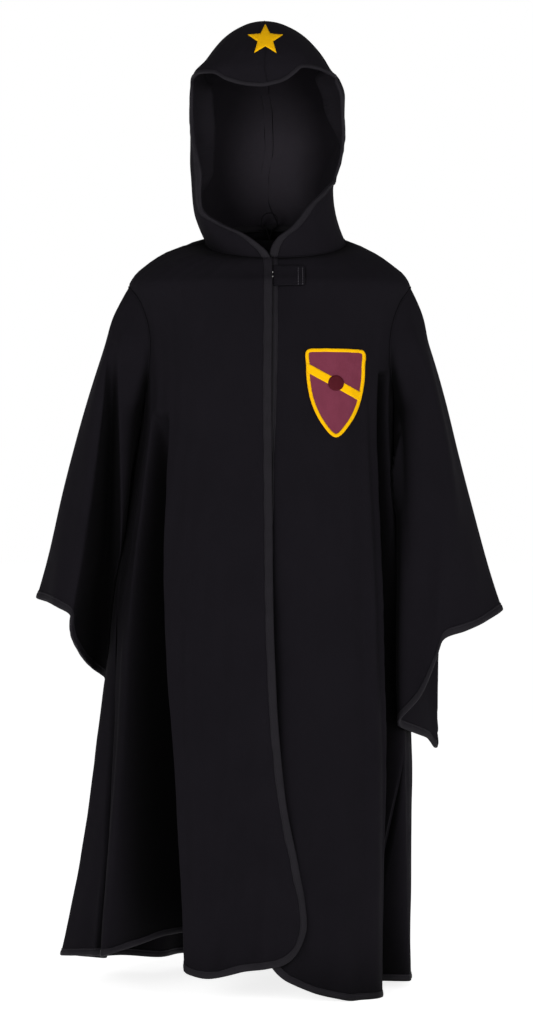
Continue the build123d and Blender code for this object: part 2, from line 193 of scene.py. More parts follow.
def resample(path, spacing, *others, closed=False):
    """path, and values that go with it, at an even spacing."""
    path = np.asarray(path, float)
    if closed:
        path = np.vstack([path, path[:1]])
        others = [np.vstack([o, o[:1]]) for o in others]
    run = np.concatenate([[0], np.cumsum(np.linalg.norm(np.diff(path, axis=0), axis=1))])
    n = max(8, int(round(run[-1] / spacing)))
    q = np.linspace(0, run[-1], n + 1)
    if closed:
        q = q[:-1]
    out = [np.stack([np.interp(q, run, c) for c in arr.T], -1) for arr in [path, *others]]
    return q, out


# The section of a folded binding: (distance into the cloth, height off it, in the strip's own
# thicknesses), over the outer side, round the edge and back along the inner side.
def rise_of(cloth_tree, p, n, b, w):
    """How far the cloth stands above a flat strip of width w, along the strip's inner border."""
    rise = np.zeros(len(p))
    for i, (here, up, across) in enumerate(zip(p, n, b)):
        start = here + across * w + up * 0.008
        hit = cloth_tree.ray_cast(Vector(start), Vector(-up), 0.016)[0]
        if hit is not None:
            rise[i] = np.dot(np.array(hit) - here, up)
    for _ in range(4):
        rise[1:-1] = (rise[:-2] + rise[1:-1] * 2 + rise[2:]) / 4
    return np.clip(rise, -0.004, 0.004)


def binding(name, edge, normal, inward, material, width=0.0094, proud=0.0010, closed=False, seed=1, on=None):
    """A strip folded round a cloth edge, stitched near its inner border."""
    q, (p, n, b) = resample(edge, 0.004, normal, inward, closed=closed)
    n = unit(n)
    b = unit(b - n * (b * n).sum(1, keepdims=True))
    w, h, t = float(np.max(width)), proud, CLOTH
    lap = [(w, 0.15), (w - 0.0004, 0.75), (w - 0.0014, 0.8), (w - 0.0020, 0.45), (w - 0.0028, 0.85)]
    lap += [(w * 0.55, 1.15), (w * 0.25, 1.2), (0.0008, 1.1), (-0.0004, 0.75)]
    side = np.array([(x, y * h) for x, y in lap])
    back = np.array([(x, -t - y * h) for x, y in lap[::-1]])
    section = np.vstack([side, [(-0.0011, -t / 2)], back])
    k = len(section)
    wander = 0.0005 * ripple(q * 90, q * 30, seed)[:, None]
    puff = 1 + 0.16 * ripple(q * 260, q * 90, seed + 1)[:, None]
    narrow = np.interp(np.linspace(0, 1, len(q)), np.linspace(0, 1, np.size(width)), np.atleast_1d(width)) / w
    along = section[None, :, 0] * narrow[:, None] + wander * (section[None, :, 0] > w * 0.5)
    away = (section[None, :, 1] + t / 2) * puff - t / 2
    if on is not None:
        away = away + rise_of(on, p, n, b, w * narrow.mean())[:, None] * (np.clip(along, 0, w) / w) ** 2
    verts = p[:, None] + b[:, None] * along[..., None] + n[:, None] * away[..., None]
    rows = len(p)
    quads = grid_faces(rows + (1 if closed else 0), k, wrap=True)
    if closed:
        quads = quads % (rows * k)
    faces = [tuple(f) for f in quads]
    if not closed:
        faces += [tuple(range(k)), tuple(range((rows - 1) * k, rows * k))[::-1]]
    uv = np.stack([np.repeat(q, k), np.tile(section[:, 0], rows)], -1)
    obj = mesh_object(name, verts.reshape(-1, 3), faces, material, uv)
    bm = bmesh.new()
    bm.from_mesh(obj.data)
    bmesh.ops.recalc_face_normals(bm, faces=bm.faces)
    bm.to_mesh(obj.data)
    bm.free()
    return obj


def cord(name, path, radius, material, sides=8, spacing=0.002, closed=False, flat=None, normal=None):
    """A thin round or flattened cord along a path."""
    extra = [normal] if normal is not None else []
    q, got = resample(path, spacing, *extra, closed=closed)
    p = got[0]
    tangent = np.gradient(p, axis=0) if not closed else np.roll(p, -1, 0) - np.roll(p, 1, 0)
    tangent = unit(tangent)
    up = got[1] if normal is not None else np.tile([0.13, -1.0, 0.21], (len(p), 1))
    up = unit(up - tangent * (up * tangent).sum(1, keepdims=True))
    side = np.cross(tangent, up)
    a = np.linspace(0, 2 * np.pi, sides, endpoint=False)
    rx, ry = (radius, radius) if flat is None else flat
    ring = side[:, None] * (np.cos(a) * rx)[None, :, None] + up[:, None] * (np.sin(a) * ry)[None, :, None]
    verts = p[:, None] + ring
    rows = len(p)
    quads = grid_faces(rows + (1 if closed else 0), sides, wrap=True)
    if closed:
        quads = quads % (rows * sides)
    faces = [tuple(f) for f in quads]
    if not closed:
        faces += [tuple(range(sides)), tuple(range((rows - 1) * sides, rows * sides))[::-1]]
    uv = np.stack([np.repeat(q, sides), np.tile(a / 6.283, rows)], -1)
    obj = mesh_object(name, verts.reshape(-1, 3), faces, material, uv)
    bm = bmesh.new()
    bm.from_mesh(obj.data)
    bmesh.ops.recalc_face_normals(bm, faces=bm.faces)
    bm.to_mesh(obj.data)
    bm.free()
    return obj


# ---- materials -------------------------------------------------------------------------------
class Nodes:
    """Short names for building a node material."""

    def __init__(self, name):
        self.mat = bpy.data.materials.new(name)
        self.mat.use_nodes = True
        self.tree = self.mat.node_tree
        self.bsdf = self.tree.nodes["Principled BSDF"]

    def add(self, kind, **values):
        node = self.tree.nodes.new(kind)
        for key, value in values.items():
            if key in node.inputs:
                node.inputs[key].default_value = value
            else:
                setattr(node, key, value)
        return node

    def link(self, a, b):
        self.tree.links.new(a, b)

    def math(self, op, a, b=None, clamp=False):
        node = self.add("ShaderNodeMath", operation=op, use_clamp=clamp)
        for i, v in enumerate((a, b)):
            if v is None:
                continue
            if isinstance(v, (int, float)):
                node.inputs[i].default_value = v
            else:
                self.link(v, node.inputs[i])
        return node.outputs[0]

    def mix(self, factor, a, b):
        node = self.add("ShaderNodeMix", data_type="RGBA")
        for i, v in ((0, factor), (6, a), (7, b)):
            if isinstance(v, (int, float)):
                node.inputs[i].default_value = v
            elif isinstance(v, tuple):
                node.inputs[i].default_value = (*v, 1.0)
            else:
                self.link(v, node.inputs[i])
        return node.outputs[2]

    def bump(self, height, distance, strength=1.0, after=None):
        node = self.add("ShaderNodeBump")
        node.inputs["Distance"].default_value = distance
        node.inputs["Strength"].default_value = strength
        self.link(height, node.inputs["Height"])
        if after is not None:
            self.link(after, node.inputs["Normal"])
        return node.outputs[0]

    def finish(self, color, rough, normal=None, sheen=0.0, tint=(1, 1, 1), sheen_rough=0.4, spec=0.3):
        for key, value in (("Base Color", color), ("Roughness", rough)):
            if isinstance(value, tuple):
                self.bsdf.inputs[key].default_value = (*value, 1.0)
            elif isinstance(value, (int, float)):
                self.bsdf.inputs[key].default_value = value
            else:
                self.link(value, self.bsdf.inputs[key])
        if normal is not None:
            self.link(normal, self.bsdf.inputs["Normal"])
        self.bsdf.inputs["Sheen Weight"].default_value = sheen
        self.bsdf.inputs["Sheen Roughness"].default_value = sheen_rough
        self.bsdf.inputs["Sheen Tint"].default_value = (*tint, 1.0)
        self.bsdf.inputs["Specular IOR Level"].default_value = spec
        return self.mat


def painted_fold_shade(n, reach, power, floor=0.20):
    """Painted shade: a factor that is one on open cloth and falls to nothing in the depth of a fold, from ambient
    occlusion, used to darken the colour there.
    """
    node = n.add("ShaderNodeAmbientOcclusion", samples=6)
    node.inputs["Distance"].default_value = reach
    span = n.add("ShaderNodeMapRange")
    span.inputs["From Min"].default_value = floor
    span.inputs["From Max"].default_value = 0.76
    n.link(node.outputs["AO"], span.inputs["Value"])
    return n.math("POWER", span.outputs[0], power, clamp=True)


def painted_patch_share(n, sep, middle, reach):
    """How much of a soft patch of painted tone there is, painted shade in the robe's deep folds and painted light
    inside the hood: one at its middle, nothing beyond its reach.
    """
    total = 0.0
    for i in range(3):
        off = n.math("DIVIDE", n.math("SUBTRACT", sep.outputs[i], middle[i]), reach[i])
        total = n.math("ADD", n.math("MULTIPLY", off, off), total)
    return n.math("POWER", n.math("SUBTRACT", 1.0, total, clamp=True), 1.7)


def cloth_material(name, dark, light, sheen=0.012, reach=0.075, power=1.4, floor=0.20, painted_shade_and_light_patches=()):
    """Brushed black cloth: a fine plain weave under a short nap, with slow changes of tone, painted shade darkening it
    in folds and hollows, and soft patches of painted shade and painted light where given.
    """
    n = Nodes(name)
    where = n.add("ShaderNodeTexCoord").outputs["Object"]
    sep = n.add("ShaderNodeSeparateXYZ")
    n.link(where, sep.inputs[0])
    x, y, z = sep.outputs
    around = n.math("ADD", x, n.math("MULTIPLY", y, 0.7))
    warp = n.math("SINE", n.math("MULTIPLY", around, 7200.0))
    weft = n.math("SINE", n.math("MULTIPLY", z, 7200.0))
    weave = n.math("MULTIPLY", warp, weft)
    nap = n.add("ShaderNodeTexNoise", Scale=950.0, Detail=3.0, Roughness=0.7)
    n.link(where, nap.inputs["Vector"])
    slub_map = n.add("ShaderNodeMapping")
    slub_map.inputs["Scale"].default_value = (60.0, 60.0, 900.0)
    n.link(where, slub_map.inputs[0])
    slub = n.add("ShaderNodeTexNoise", Scale=1.0, Detail=2.0)
    n.link(slub_map.outputs[0], slub.inputs["Vector"])
    cloud = n.add("ShaderNodeTexNoise", Scale=14.0, Detail=4.0, Roughness=0.6)
    n.link(where, cloud.inputs["Vector"])
    fleck = n.add("ShaderNodeTexNoise", Scale=420.0, Detail=1.0)
    n.link(where, fleck.inputs["Vector"])
    spark = n.math("MULTIPLY", n.math("GREATER_THAN", fleck.outputs["Fac"], 0.69), 0.35)
    tone = n.math("ADD", n.math("MULTIPLY", cloud.outputs["Fac"], 0.55), n.math("MULTIPLY", nap.outputs["Fac"], 0.45))
    tone = n.math("ADD", tone, spark, clamp=True)
    base = n.mix(tone, dark, light)
    # Soft patches of painted shade (deep fold valleys) and painted light (inside of the hood) mixed into the colour.
    for middle, far, painted_patch_dark, painted_patch_light in painted_shade_and_light_patches:
        base = n.mix(painted_patch_share(n, sep, middle, far), base, n.mix(tone, painted_patch_dark, painted_patch_light))
    # Painted shade: the colour darkens to black in folds and hollows by ambient occlusion.
    color = n.mix(painted_fold_shade(n, reach, power, floor), (0.0, 0.0, 0.0), base)
    height = n.math("ADD", n.math("MULTIPLY", weave, 0.25), nap.outputs["Fac"])
    height = n.math("ADD", height, n.math("MULTIPLY", slub.outputs["Fac"], 0.5))
    normal = n.bump(height, 0.0005, 0.55)
    pucker = n.add("ShaderNodeTexNoise", Scale=26.0, Detail=2.0)
    n.link(where, pucker.inputs["Vector"])
    normal = n.bump(pucker.outputs["Fac"], 0.004, 0.22, normal)
    rough = n.math("ADD", n.math("MULTIPLY", nap.outputs["Fac"], 0.12), 0.82)
    return n.finish(color, rough, normal, sheen, (0.55, 0.5, 0.6), 0.55, 0.05)


def strip_material(name, dark, light, rough=0.6, sheen=0.02, spec=0.08, stitch_at=0.0066):
    """Satin binding: a fine rib across the strip, a row of stitches near its inner border, and painted shade darkening
    it in its hollows.
    """
    n = Nodes(name)
    uv = n.add("ShaderNodeUVMap", uv_map="cloth").outputs[0]
    sep = n.add("ShaderNodeSeparateXYZ")
    n.link(uv, sep.inputs[0])
    run, across, _ = sep.outputs
    rib = n.math("SINE", n.math("MULTIPLY", n.math("ADD", run, n.math("MULTIPLY", across, 0.6)), 9000.0))
    where = n.add("ShaderNodeTexCoord").outputs["Object"]
    cloud = n.add("ShaderNodeTexNoise", Scale=60.0, Detail=3.0)
    n.link(where, cloud.inputs["Vector"])
    off = n.math("ABSOLUTE", n.math("SUBTRACT", across, stitch_at))
    row = n.math("LESS_THAN", off, 0.00045)
    dash = n.math("GREATER_THAN", n.math("SINE", n.math("MULTIPLY", run, 2 * math.pi / 0.0028)), -0.35)
    stitch = n.math("MULTIPLY", row, dash)
    # Painted shade: the strip's colour darkens in hollows by ambient occlusion.
    color = n.mix(painted_fold_shade(n, 0.05, 1.6), (0.0, 0.0, 0.0), n.mix(cloud.outputs["Fac"], dark, light))
    color = n.mix(n.math("MULTIPLY", stitch, 0.4), color, tuple(c * 1.6 for c in light))
    height = n.math("ADD", n.math("MULTIPLY", rib, 0.12), n.math("MULTIPLY", stitch, 0.9))
    normal = n.bump(height, 0.0005, 0.6)
    return n.finish(color, rough, normal, sheen, (0.7, 0.65, 0.75), 0.4, spec)


def satin_material(name, dark, light, angle=0.0, pitch=0.0006, rough=0.45, spec=0.3, sheen=0.15):
    """Closely sewn thread, as on an appliqué."""
    n = Nodes(name)
    where = n.add("ShaderNodeTexCoord").outputs["Object"]
    turn = n.add("ShaderNodeMapping")
    turn.inputs["Rotation"].default_value = (0.0, angle, 0.0)
    n.link(where, turn.inputs[0])
    sep = n.add("ShaderNodeSeparateXYZ")
    n.link(turn.outputs[0], sep.inputs[0])
    thread = n.math("SINE", n.math("MULTIPLY", sep.outputs[2], 2 * math.pi / pitch))
    noise = n.add("ShaderNodeTexNoise", Scale=500.0, Detail=2.0)
    n.link(where, noise.inputs["Vector"])
    cloud = n.add("ShaderNodeTexNoise", Scale=90.0, Detail=2.0)
    n.link(where, cloud.inputs["Vector"])
    tone = n.math("ADD", n.math("MULTIPLY", cloud.outputs["Fac"], 0.6), n.math("MULTIPLY", noise.outputs["Fac"], 0.4))
    color = n.mix(tone, dark, light)
    height = n.math("ADD", n.math("MULTIPLY", thread, 0.4), noise.outputs["Fac"])
    return n.finish(color, rough, n.bump(height, 0.0004, 0.5), sheen, (1, 1, 1), 0.4, spec)


# Robe cloth with painted shade: occlusion darkening in folds, and two near-black patches painted into the deep fold
# valleys of the body and of the right sleeve.
black_cloth = cloth_material(
    "robe_cloth", (0.0036, 0.0031, 0.0044), (0.0075, 0.0064, 0.0088), reach=0.105, power=2.5, floor=0.27,
    painted_shade_and_light_patches=[
        ((-0.150, -0.040, 0.22), (0.052, 0.072, 0.37), (0.0005, 0.0004, 0.0006), (0.0010, 0.0009, 0.0012)),
        ((-0.203, -0.008, 0.47), (0.030, 0.044, 0.25), (0.0005, 0.0004, 0.0006), (0.0010, 0.0009, 0.0012)),
    ],
)
# Hood lining with a bright patch of painted light on the back wall of the hood's inside.
lining_cloth = cloth_material(
    "hood_cloth", (0.0068, 0.0059, 0.0077), (0.0120, 0.0106, 0.0134),
    painted_shade_and_light_patches=[((0.006, 0.125, 0.982), (0.072, 0.105, 0.140), (0.030, 0.026, 0.033), (0.047, 0.042, 0.051))],
)
binding_cloth = strip_material("edge_binding", (0.0064, 0.0056, 0.0074), (0.0112, 0.0098, 0.0128))
ribbon_cloth = strip_material("ribbon", (0.0040, 0.0035, 0.0045), (0.0075, 0.0066, 0.0084), stitch_at=9.0)
seam_thread = satin_material("seam_thread", (0.0055, 0.0048, 0.0064), (0.0120, 0.0105, 0.0135), pitch=0.0009, sheen=0.0,
                             spec=0.08)
gold_thread = satin_material("gold_applique", (0.66, 0.335, 0.0), (0.88, 0.475, 0.0), 0.5, sheen=0.0, spec=0.08,
                             rough=0.7)
yellow_thread = satin_material("yellow_applique", (0.74, 0.385, 0.0), (0.90, 0.490, 0.0), 0.3, sheen=0.0, spec=0.06,
                               rough=0.7)
wine_felt = satin_material("wine_applique", (0.118, 0.022, 0.040), (0.168, 0.036, 0.062), 0.0, 0.0011, 0.85, 0.04, 0.0)
maroon_thread = satin_material("maroon_applique", (0.050, 0.004, 0.008), (0.080, 0.008, 0.014), 0.9, sheen=0.0,
                               spec=0.06)
label_cloth = satin_material("label", (0.004, 0.0035, 0.0045), (0.008, 0.007, 0.009), 0.0, 0.0005, sheen=0.0, spec=0.05)
hook_nylon = satin_material("hook_and_loop", (0.20, 0.195, 0.19), (0.46, 0.45, 0.44), 0.8, 0.0012, 0.7, sheen=0.0)
tack_thread = satin_material("tack_thread", (0.45, 0.44, 0.43), (0.70, 0.69, 0.67), 0.0, 0.0014, sheen=0.0)
stitch_thread = satin_material("thread", (0.060, 0.056, 0.066), (0.110, 0.104, 0.118), 0.0, 0.0014, sheen=0.0)


# ---- body surface ----------------------------------------------------------------------------
# Height, tilt in degrees, centre x, half width and half depth of each level ring, in millimetres.
LEVELS = np.array([
    (-20, 0, -39.5, 208.5, 151), (0, 0, -38.5, 206.5, 150), (150, 0, -26.5, 192.5, 142),
    (300, 0, -17.5, 183.5, 132), (450, 0, -13, 174, 120), (600, 0, -6, 158, 107),
    (690, 0, -1, 150, 99), (760, 0, 0, 154, 91), (812, 0, 0.5, 163, 82), (834, 0, 0.5, 168.5, 77),
    (842, 3, 0.5, 165, 75), (850, 7, 0.5, 159, 73), (858, 10, 0.5, 149, 71), (866, 13, 1, 138, 69.5),
    (874, 16, 1.5, 124, 68), (881, 19, 4, 105, 66), (886, 21, 8, 84, 64),
])
NECK_H = 886.0

# Soft folds of the skirt: angle at the hem and at the top in radians, half width before and after
# the fold's line, depth at the hem in mm (inwards is positive), height where the fold dies out,
# and how late it grows on the way down.
FOLDS = [
    (1.05, 0.555, 0.32, 0.245, 122.0, 680.0, 0.60),
    (0.74, 0.44, 0.10, 0.12, -8.0, 460.0, 0.9),
    (0.665, 0.28, 0.075, 0.055, 17.0, 430.0, 0.9),
    (0.26, 0.16, 0.34, 0.30, -16.0, 400.0, 0.75),
    (1.37, 0.96, 0.085, 0.10, -4.0, 600.0, 0.6),
    (1.60, 1.50, 0.20, 0.15, 6.0, 560.0, 0.8),
    (2.05, 2.10, 0.20, 0.20, 6.0, 640.0, 0.8),
    (2.46, 2.43, 0.13, 0.10, -7.0, 700.0, 0.45),
    (2.71, 2.66, 0.17, 0.26, 54.0, 730.0, 0.33),
    (3.55, 3.70, 0.22, 0.22, 26.0, 560.0, 1.15),
    (4.10, 4.15, 0.24, 0.24, 30.0, 640.0, 1.15),
    (4.40, 4.42, 0.20, 0.20, -8.0, 560.0, 1.0),
    (4.72, 4.70, 0.24, 0.24, 27.0, 680.0, 1.15),
    (5.30, 5.20, 0.24, 0.24, 34.0, 620.0, 1.15),
    (5.85, 5.80, 0.22, 0.22, 24.0, 520.0, 1.0),
]


def body_point(a, h, out=0.0):
    """The robe's outer face in metres: a is the angle from the wearer's right side round the
    front, h the height in mm, out an extra distance off the cloth in mm."""
    a, h, out = np.broadcast_arrays(np.asarray(a, float), np.asarray(h, float), np.asarray(out, float))
    t, xc, hw, hd = np.moveaxis(smooth(LEVELS[:, 0], LEVELS[:, 1:], h), -1, 0)
    t = np.radians(t)
    ca, sa = np.cos(a), np.sin(a)
    nx, ny = -ca / hw, -sa / hd
    length = np.hypot(nx, ny)
    nx, ny = nx / length, ny / length
    push = np.zeros(a.shape)
    for at_hem, at_top, before, after, depth, top, late in FOLDS:
        down = np.clip(1 - h / top, 0, 1.03)
        off = np.mod(a - at_top - (at_hem - at_top) * down + np.pi, 2 * np.pi) - np.pi
        u = off / (np.where(off < 0, before, after) * (0.5 + 0.5 * down))
        blunt = 4.5 if depth > 100 else 3.0 if depth > 40 else 2.0
        push -= depth * down**late * np.where(np.abs(u) < 1, (1 - np.minimum(np.abs(u), 1) ** blunt) ** 2, 0.0)
    low = np.clip(1 - h / 820.0, 0, 1)
    push += (1.2 + 3.0 * low) * ripple(a * 2.2, h / 130.0, 3) * (1 - np.exp(-((a - 1.75) / 0.25) ** 2))
    push += 0.7 * ripple(a * 9.0, h / 34.0, 5) + (0.5 + 1.6 * low) * ripple(a * 11.0, h / 280.0, 7)
    push += out
    x = xc - hw * ca + nx * push
    y = -hd * sa * np.cos(t) + ny * push * np.cos(t)
    z = h + (-hd * sa + ny * push) * np.sin(t) + push * 0.25 * step((h - 840) / 40.0)
    return np.stack([x, y, z], -1) * MM


def angle_at(x, h):
    """The front angle where the robe's smooth section passes x, both in mm."""
    values = smooth(LEVELS[:, 0], LEVELS[:, 1:], h)
    return np.arccos(np.clip((values[..., 1] - x) / values[..., 2], -1, 1))


def right_edge_x(h):
    return smooth([-20, 88, 110, 147, 242, 345, 462, 560, 700, 830, 900],
                  [43, 43, 41, 33.5, 15.5, 6.5, 2.8, 2.2, 1.4, 2.4, 2.0], h)


def left_edge_x(h):
    return smooth([-20, 200, 600, 730, 800, 900], [-8, -7, -4, 0.0, 0.6, 0.6], h)


def right_seam_angle(h):
    return smooth([-20, 0, 150, 337, 500, 690, 886], [0.735, 0.72, 0.57, 0.38, 0.2, 0.02, 0.0], h)


def left_seam_angle(h):
    return smooth([-20, 0, 300, 690, 886], [2.79, 2.80, 2.90, 3.12, 3.1416], h)


def stand_off(h):
    """The gap between the two fronts is widest half way down."""
    return 5.5 * np.exp(-(((h - 380) / 130.0) ** 2))


def lap(a, h, x):
    """How far the right front stands off the left one near its edge, in mm."""
    flutter = 1.2 * ripple(h / 60.0, h / 160.0, 11) * step((820 - h) / 200)
    return (3.8 + flutter + stand_off(h)) * step((x + 74) / 66.0)


ROWS = 200
row_share = np.linspace(0, 1, ROWS)


def front_panel(edge_x, seam_angle, hem, cols, over):
    """Grid of a front, from its side seam (column 0) to its free edge."""
    s = np.linspace(0, 1, cols) ** 1.0
    bottom = hem(s)
    top_h = NECK_H
    share = row_share**0.92
    h = top_h - share[:, None] * (top_h - bottom[None, :])
    a = seam_angle(h) + s[None, :] * (angle_at(edge_x(h), h) - seam_angle(h))
    x = body_point(a, h)[..., 0] / MM
    lift = lap(a, h, x) if over else -(1.2 + 0.7 * stand_off(h)) * step((34 - x) / 34.0)
    return a, h, body_point(a, h, lift)


def right_hem(s):
    """Hem height of the right front, from the side seam to the rounded corner."""
    a = 0.72 + s * (angle_at(43.0, np.array(20.0)) - 0.72)
    flat = smooth([0.72, 0.76, 0.80, 0.86, 0.95, 1.05, 1.20, 1.30, 1.43, 1.62, 1.82, 2.1],
                  [46, 48, 53, 61, 62, 60, 52, 32, 28, 36, 42, 45], a)
    x = -38.5 - 206.5 * np.cos(a)
    u = np.clip((x - 6.0) / 37.5, 0, 1)
    return flat + 52.0 * (1 - np.sqrt(1 - u**2 * 0.999))


def left_hem(s):
    """Hem height of the left front, from the side seam to its large hidden corner."""
    a = 2.80 + s * (angle_at(-8.0, np.array(0.0)) - 2.80)
    x = -38.5 - 206.5 * np.cos(a)
    flat = smooth([-8, 0, 20, 38, 60, 75, 100, 130, 175], [38, 34, 24, 15, 6, 2, -3, -3, 7], x)
    u = np.clip((22.0 - x) / 30.0, 0, 1)
    return flat + 34.0 * (1 - np.sqrt(1 - u**2 * 0.999))


_, _, right_front = front_panel(right_edge_x, right_seam_angle, right_hem, 150, True)
_, _, left_front = front_panel(left_edge_x, left_seam_angle, left_hem, 120, False)

back_s = np.linspace(0, 1, 190)
back_bottom = smooth([0, 0.1, 0.3, 0.5, 0.7, 0.82, 0.9, 1], [7, 4, 6, 12, 19, 31, 39, 46], back_s)
back_h = NECK_H - (row_share**0.92)[:, None] * (NECK_H - back_bottom[None, :])
back_from, back_to = left_seam_angle(back_h), 2 * np.pi + right_seam_angle(back_h)
back = body_point(back_from + back_s[None, :] * (back_to - back_from), back_h)

# ---- sleeves ---------------------------------------------------------------------------------
SEAM_MID, SEAM_HALF, SEAM_DEEP = 766.0, 67.0, 36.0     # armhole seam on the side of the body


def armhole_ring(side, count, grow=1.0):
    """The armhole seam as a loop on the body: top, front, underarm, back."""
    f = np.linspace(0, 2 * np.pi, count, endpoint=False)
    h = SEAM_MID + SEAM_HALF * grow * np.cos(f)
    y = -SEAM_DEEP * grow * np.sin(f)
    hd = smooth(LEVELS[:, 0], LEVELS[:, 4], h)
    lean = np.arcsin(np.clip(-y / hd, -1, 1))
    a = lean if side < 0 else np.pi - lean
    return body_point(a, h, 0.4)


# Rings of each sleeve from near the armhole to the hem as (x, y, z) in mm, twelve points each:
# the outer line first, then down the front layer to the lowest line, then up the back layer.
SLEEVE_RIGHT = [
    [(-197, 0, 765), (-194, -22, 757), (-188, -35, 741), (-182, -40, 717), (-170, -34, 692),
     (-159, -24, 668), (-158, -4, 652), (-160, 14, 656), (-168, 28, 675), (-177, 34, 701),
     (-185, 33, 728), (-192, 18, 752)],
    [(-242, 0, 600), (-238, -28, 594), (-227, -45, 585), (-214, -50, 572), (-192, -40, 556),
     (-174, -28, 538), (-175, -4, 520), (-174, 22, 522), (-186, 36, 531), (-201, 42, 550),
     (-217, 42, 573), (-232, 27, 592)],
    [(-280.5, -5, 461), (-264, -36, 457), (-249, -54, 451), (-234, -60, 441), (-234, -48, 419),
     (-220, -36, 386), (-198, -8, 360), (-199, 14, 371), (-214, 28, 394), (-231, 36, 426),
     (-250, 36, 453), (-268, 20, 459)],
]
SLEEVE_LEFT = [
    [(191, 0, 765), (189, -22, 757), (186, -37, 741), (181, -43, 717), (170, -42, 694),
     (156, -36, 674), (149, -20, 657), (158, 8, 652), (167, 25, 669), (176, 31, 696),
     (185, 31, 725), (192, 18, 752)],
    [(240, 0, 582), (234, -30, 574), (222, -52, 560), (205, -61, 541), (185, -62, 520),
     (165, -56, 498), (151, -44, 478), (160, -14, 468), (178, 12, 468), (197, 28, 480),
     (218, 33, 510), (235, 22, 550)],
    [(279, -5, 447), (256, -38, 434), (231, -56, 423.5), (205, -64, 413), (195, -62, 386),
     (178, -60, 347), (153, -52, 316), (164, -32, 304), (188, -4, 293), (204, 14, 286),
     (196, 30, 388), (228, 34, 429)],
]

body_tree = BVHTree.FromPolygons(
    np.vstack([g.reshape(-1, 3) for g in (right_front, left_front, back)]).tolist(),
    np.vstack([grid_faces(*right_front.shape[:2]), grid_faces(*left_front.shape[:2], start=right_front.size // 3),
               grid_faces(*back.shape[:2], start=(right_front.size + left_front.size) // 3)]).tolist(),
)


def sleeve_valley(g):
    """A deep vertical fold down the front of the right sleeve."""
    x, y, z = np.moveaxis(g / MM, -1, 0)
    line = smooth([360, 437, 520, 636, 700, 770], [-209, -207, -198, -190.5, -188, -187], z)
    wide = smooth([360, 437, 520, 636, 700, 770], [27, 25, 21, 13, 9, 7], z)
    deep = smooth([360, 437, 520, 636, 700, 770], [44, 46, 46, 30, 14, 0], z)
    u = np.clip((x - line) / wide, -1, 1)
    front = step((12 - y) / 30.0)
    g[..., 1] += deep * (1 - u**2) ** 1.2 * front * MM
    return g


def rest_on_body(g, side, gap=2.2):
    """Keeps a hanging sleeve outside the body, with its inner wall resting against it."""
    rows, cols = g.shape[:2]
    for i in range(8, rows):
        for j in range(cols):
            p = g[i, j]
            hit = body_tree.ray_cast(Vector((side * 0.5, p[1], p[2])), Vector((-side, 0, 0)))[0]
            if hit is None:
                continue
            limit = side * hit[0] + gap * MM
            near = side * p[0] - limit
            inner = min(1.0, max(0.0, 2.0 - abs(j / cols * 12 - 7.4)) if side < 0 else max(0.0, 2.4 - abs(j / cols * 12 - 7.6)))
            hang = 1.0 if side < 0 else min(1.0, max(0.0, (0.45 - i / rows) / 0.2))
            settle = inner * hang * min(1.0, (i - 7) / 6.0) * max(0.0, near)
            g[i, j, 0] = side * (max(side * p[0], limit) - settle)
    return g


def sleeve_grid(side, rings, rows=120, cols=132):
    ring0 = armhole_ring(side, cols)
    around = np.linspace(0, 12, cols, endpoint=False)
    loops = [ring0] + [through(np.array(r) * MM, around, closed=True) for r in rings]
    # The head of the sleeve leaves the armhole almost square to the body before it drops.
    head = ring0 + (loops[1] - ring0) * 0.22
    head[:, 0] += side * 0.002 * np.cos(around / 12 * 2 * np.pi)
    loops = [loops[0], head] + loops[1:]
    keys = [0.0, 0.07, 0.24, 0.60, 1.0]
    v = np.linspace(0, 1, rows)
    stack = np.stack(loops)
    g = smooth(keys, stack.reshape(len(loops), -1), v).reshape(rows, cols, 3)
    n = grid_normals(g, wrap=True)
    if (n * (g - g.mean(1, keepdims=True))).sum() < 0:
        n = -n
    u, w = np.meshgrid(np.linspace(0, 2 * np.pi, cols, endpoint=False), v)
    creases = 1.6 * np.sin(3 * u + 5 * w + side) * step(w * 2.2) + 1.2 * np.sin(5 * u - 9 * w)
    creases += 2.6 * np.exp(-((w - 0.16) / 0.07) ** 2) * np.sin(6 * u + 1.0) * step(w * 12)
    g = g + n * (creases * MM * step(w * 9))[..., None]
    return rest_on_body(sleeve_valley(g) if side < 0 else g, side)


right_sleeve = sleeve_grid(-1, SLEEVE_RIGHT)
left_sleeve = sleeve_grid(1, SLEEVE_LEFT)

# ---- hood ------------------------------------------------------------------------------------
# Height, tilt, left and right reach, front and back reach, and how square the front is.
HOOD = np.array([
    (886, 21, -76, 91, -62, 62, 2.1), (905, 15, -84, 84, -66, 80, 2.3),
    (925, 10, -90, 79, -67, 95, 2.6), (950, 6, -93, 76, -65, 108, 3.0),
    (980, 3, -94.5, 84.5, -63, 119, 3.6), (1020, 0, -93.5, 92.5, -63, 126, 4.0),
    (1055, 0, -95.5, 92.5, -70, 125, 4.0), (1077, 0, -94.5, 85.5, -77, 117, 3.4),
    (1087, 0, -90.5, 76.5, -79, 111, 3.0), (1100, 0, -78.5, 69, -77, 100, 2.6),
    (1116, 0, -67, 57.5, -68, 84, 2.3), (1132, 0, -52.5, 42, -53, 63, 2.1),
    (1143, 0, -36.5, 25, -37, 42, 2.0), (1149, 0, -20, 7.5, -19, 24, 2.0), (1150.6, 0, -6.2, -5.8, -2, 6, 2.0),
])


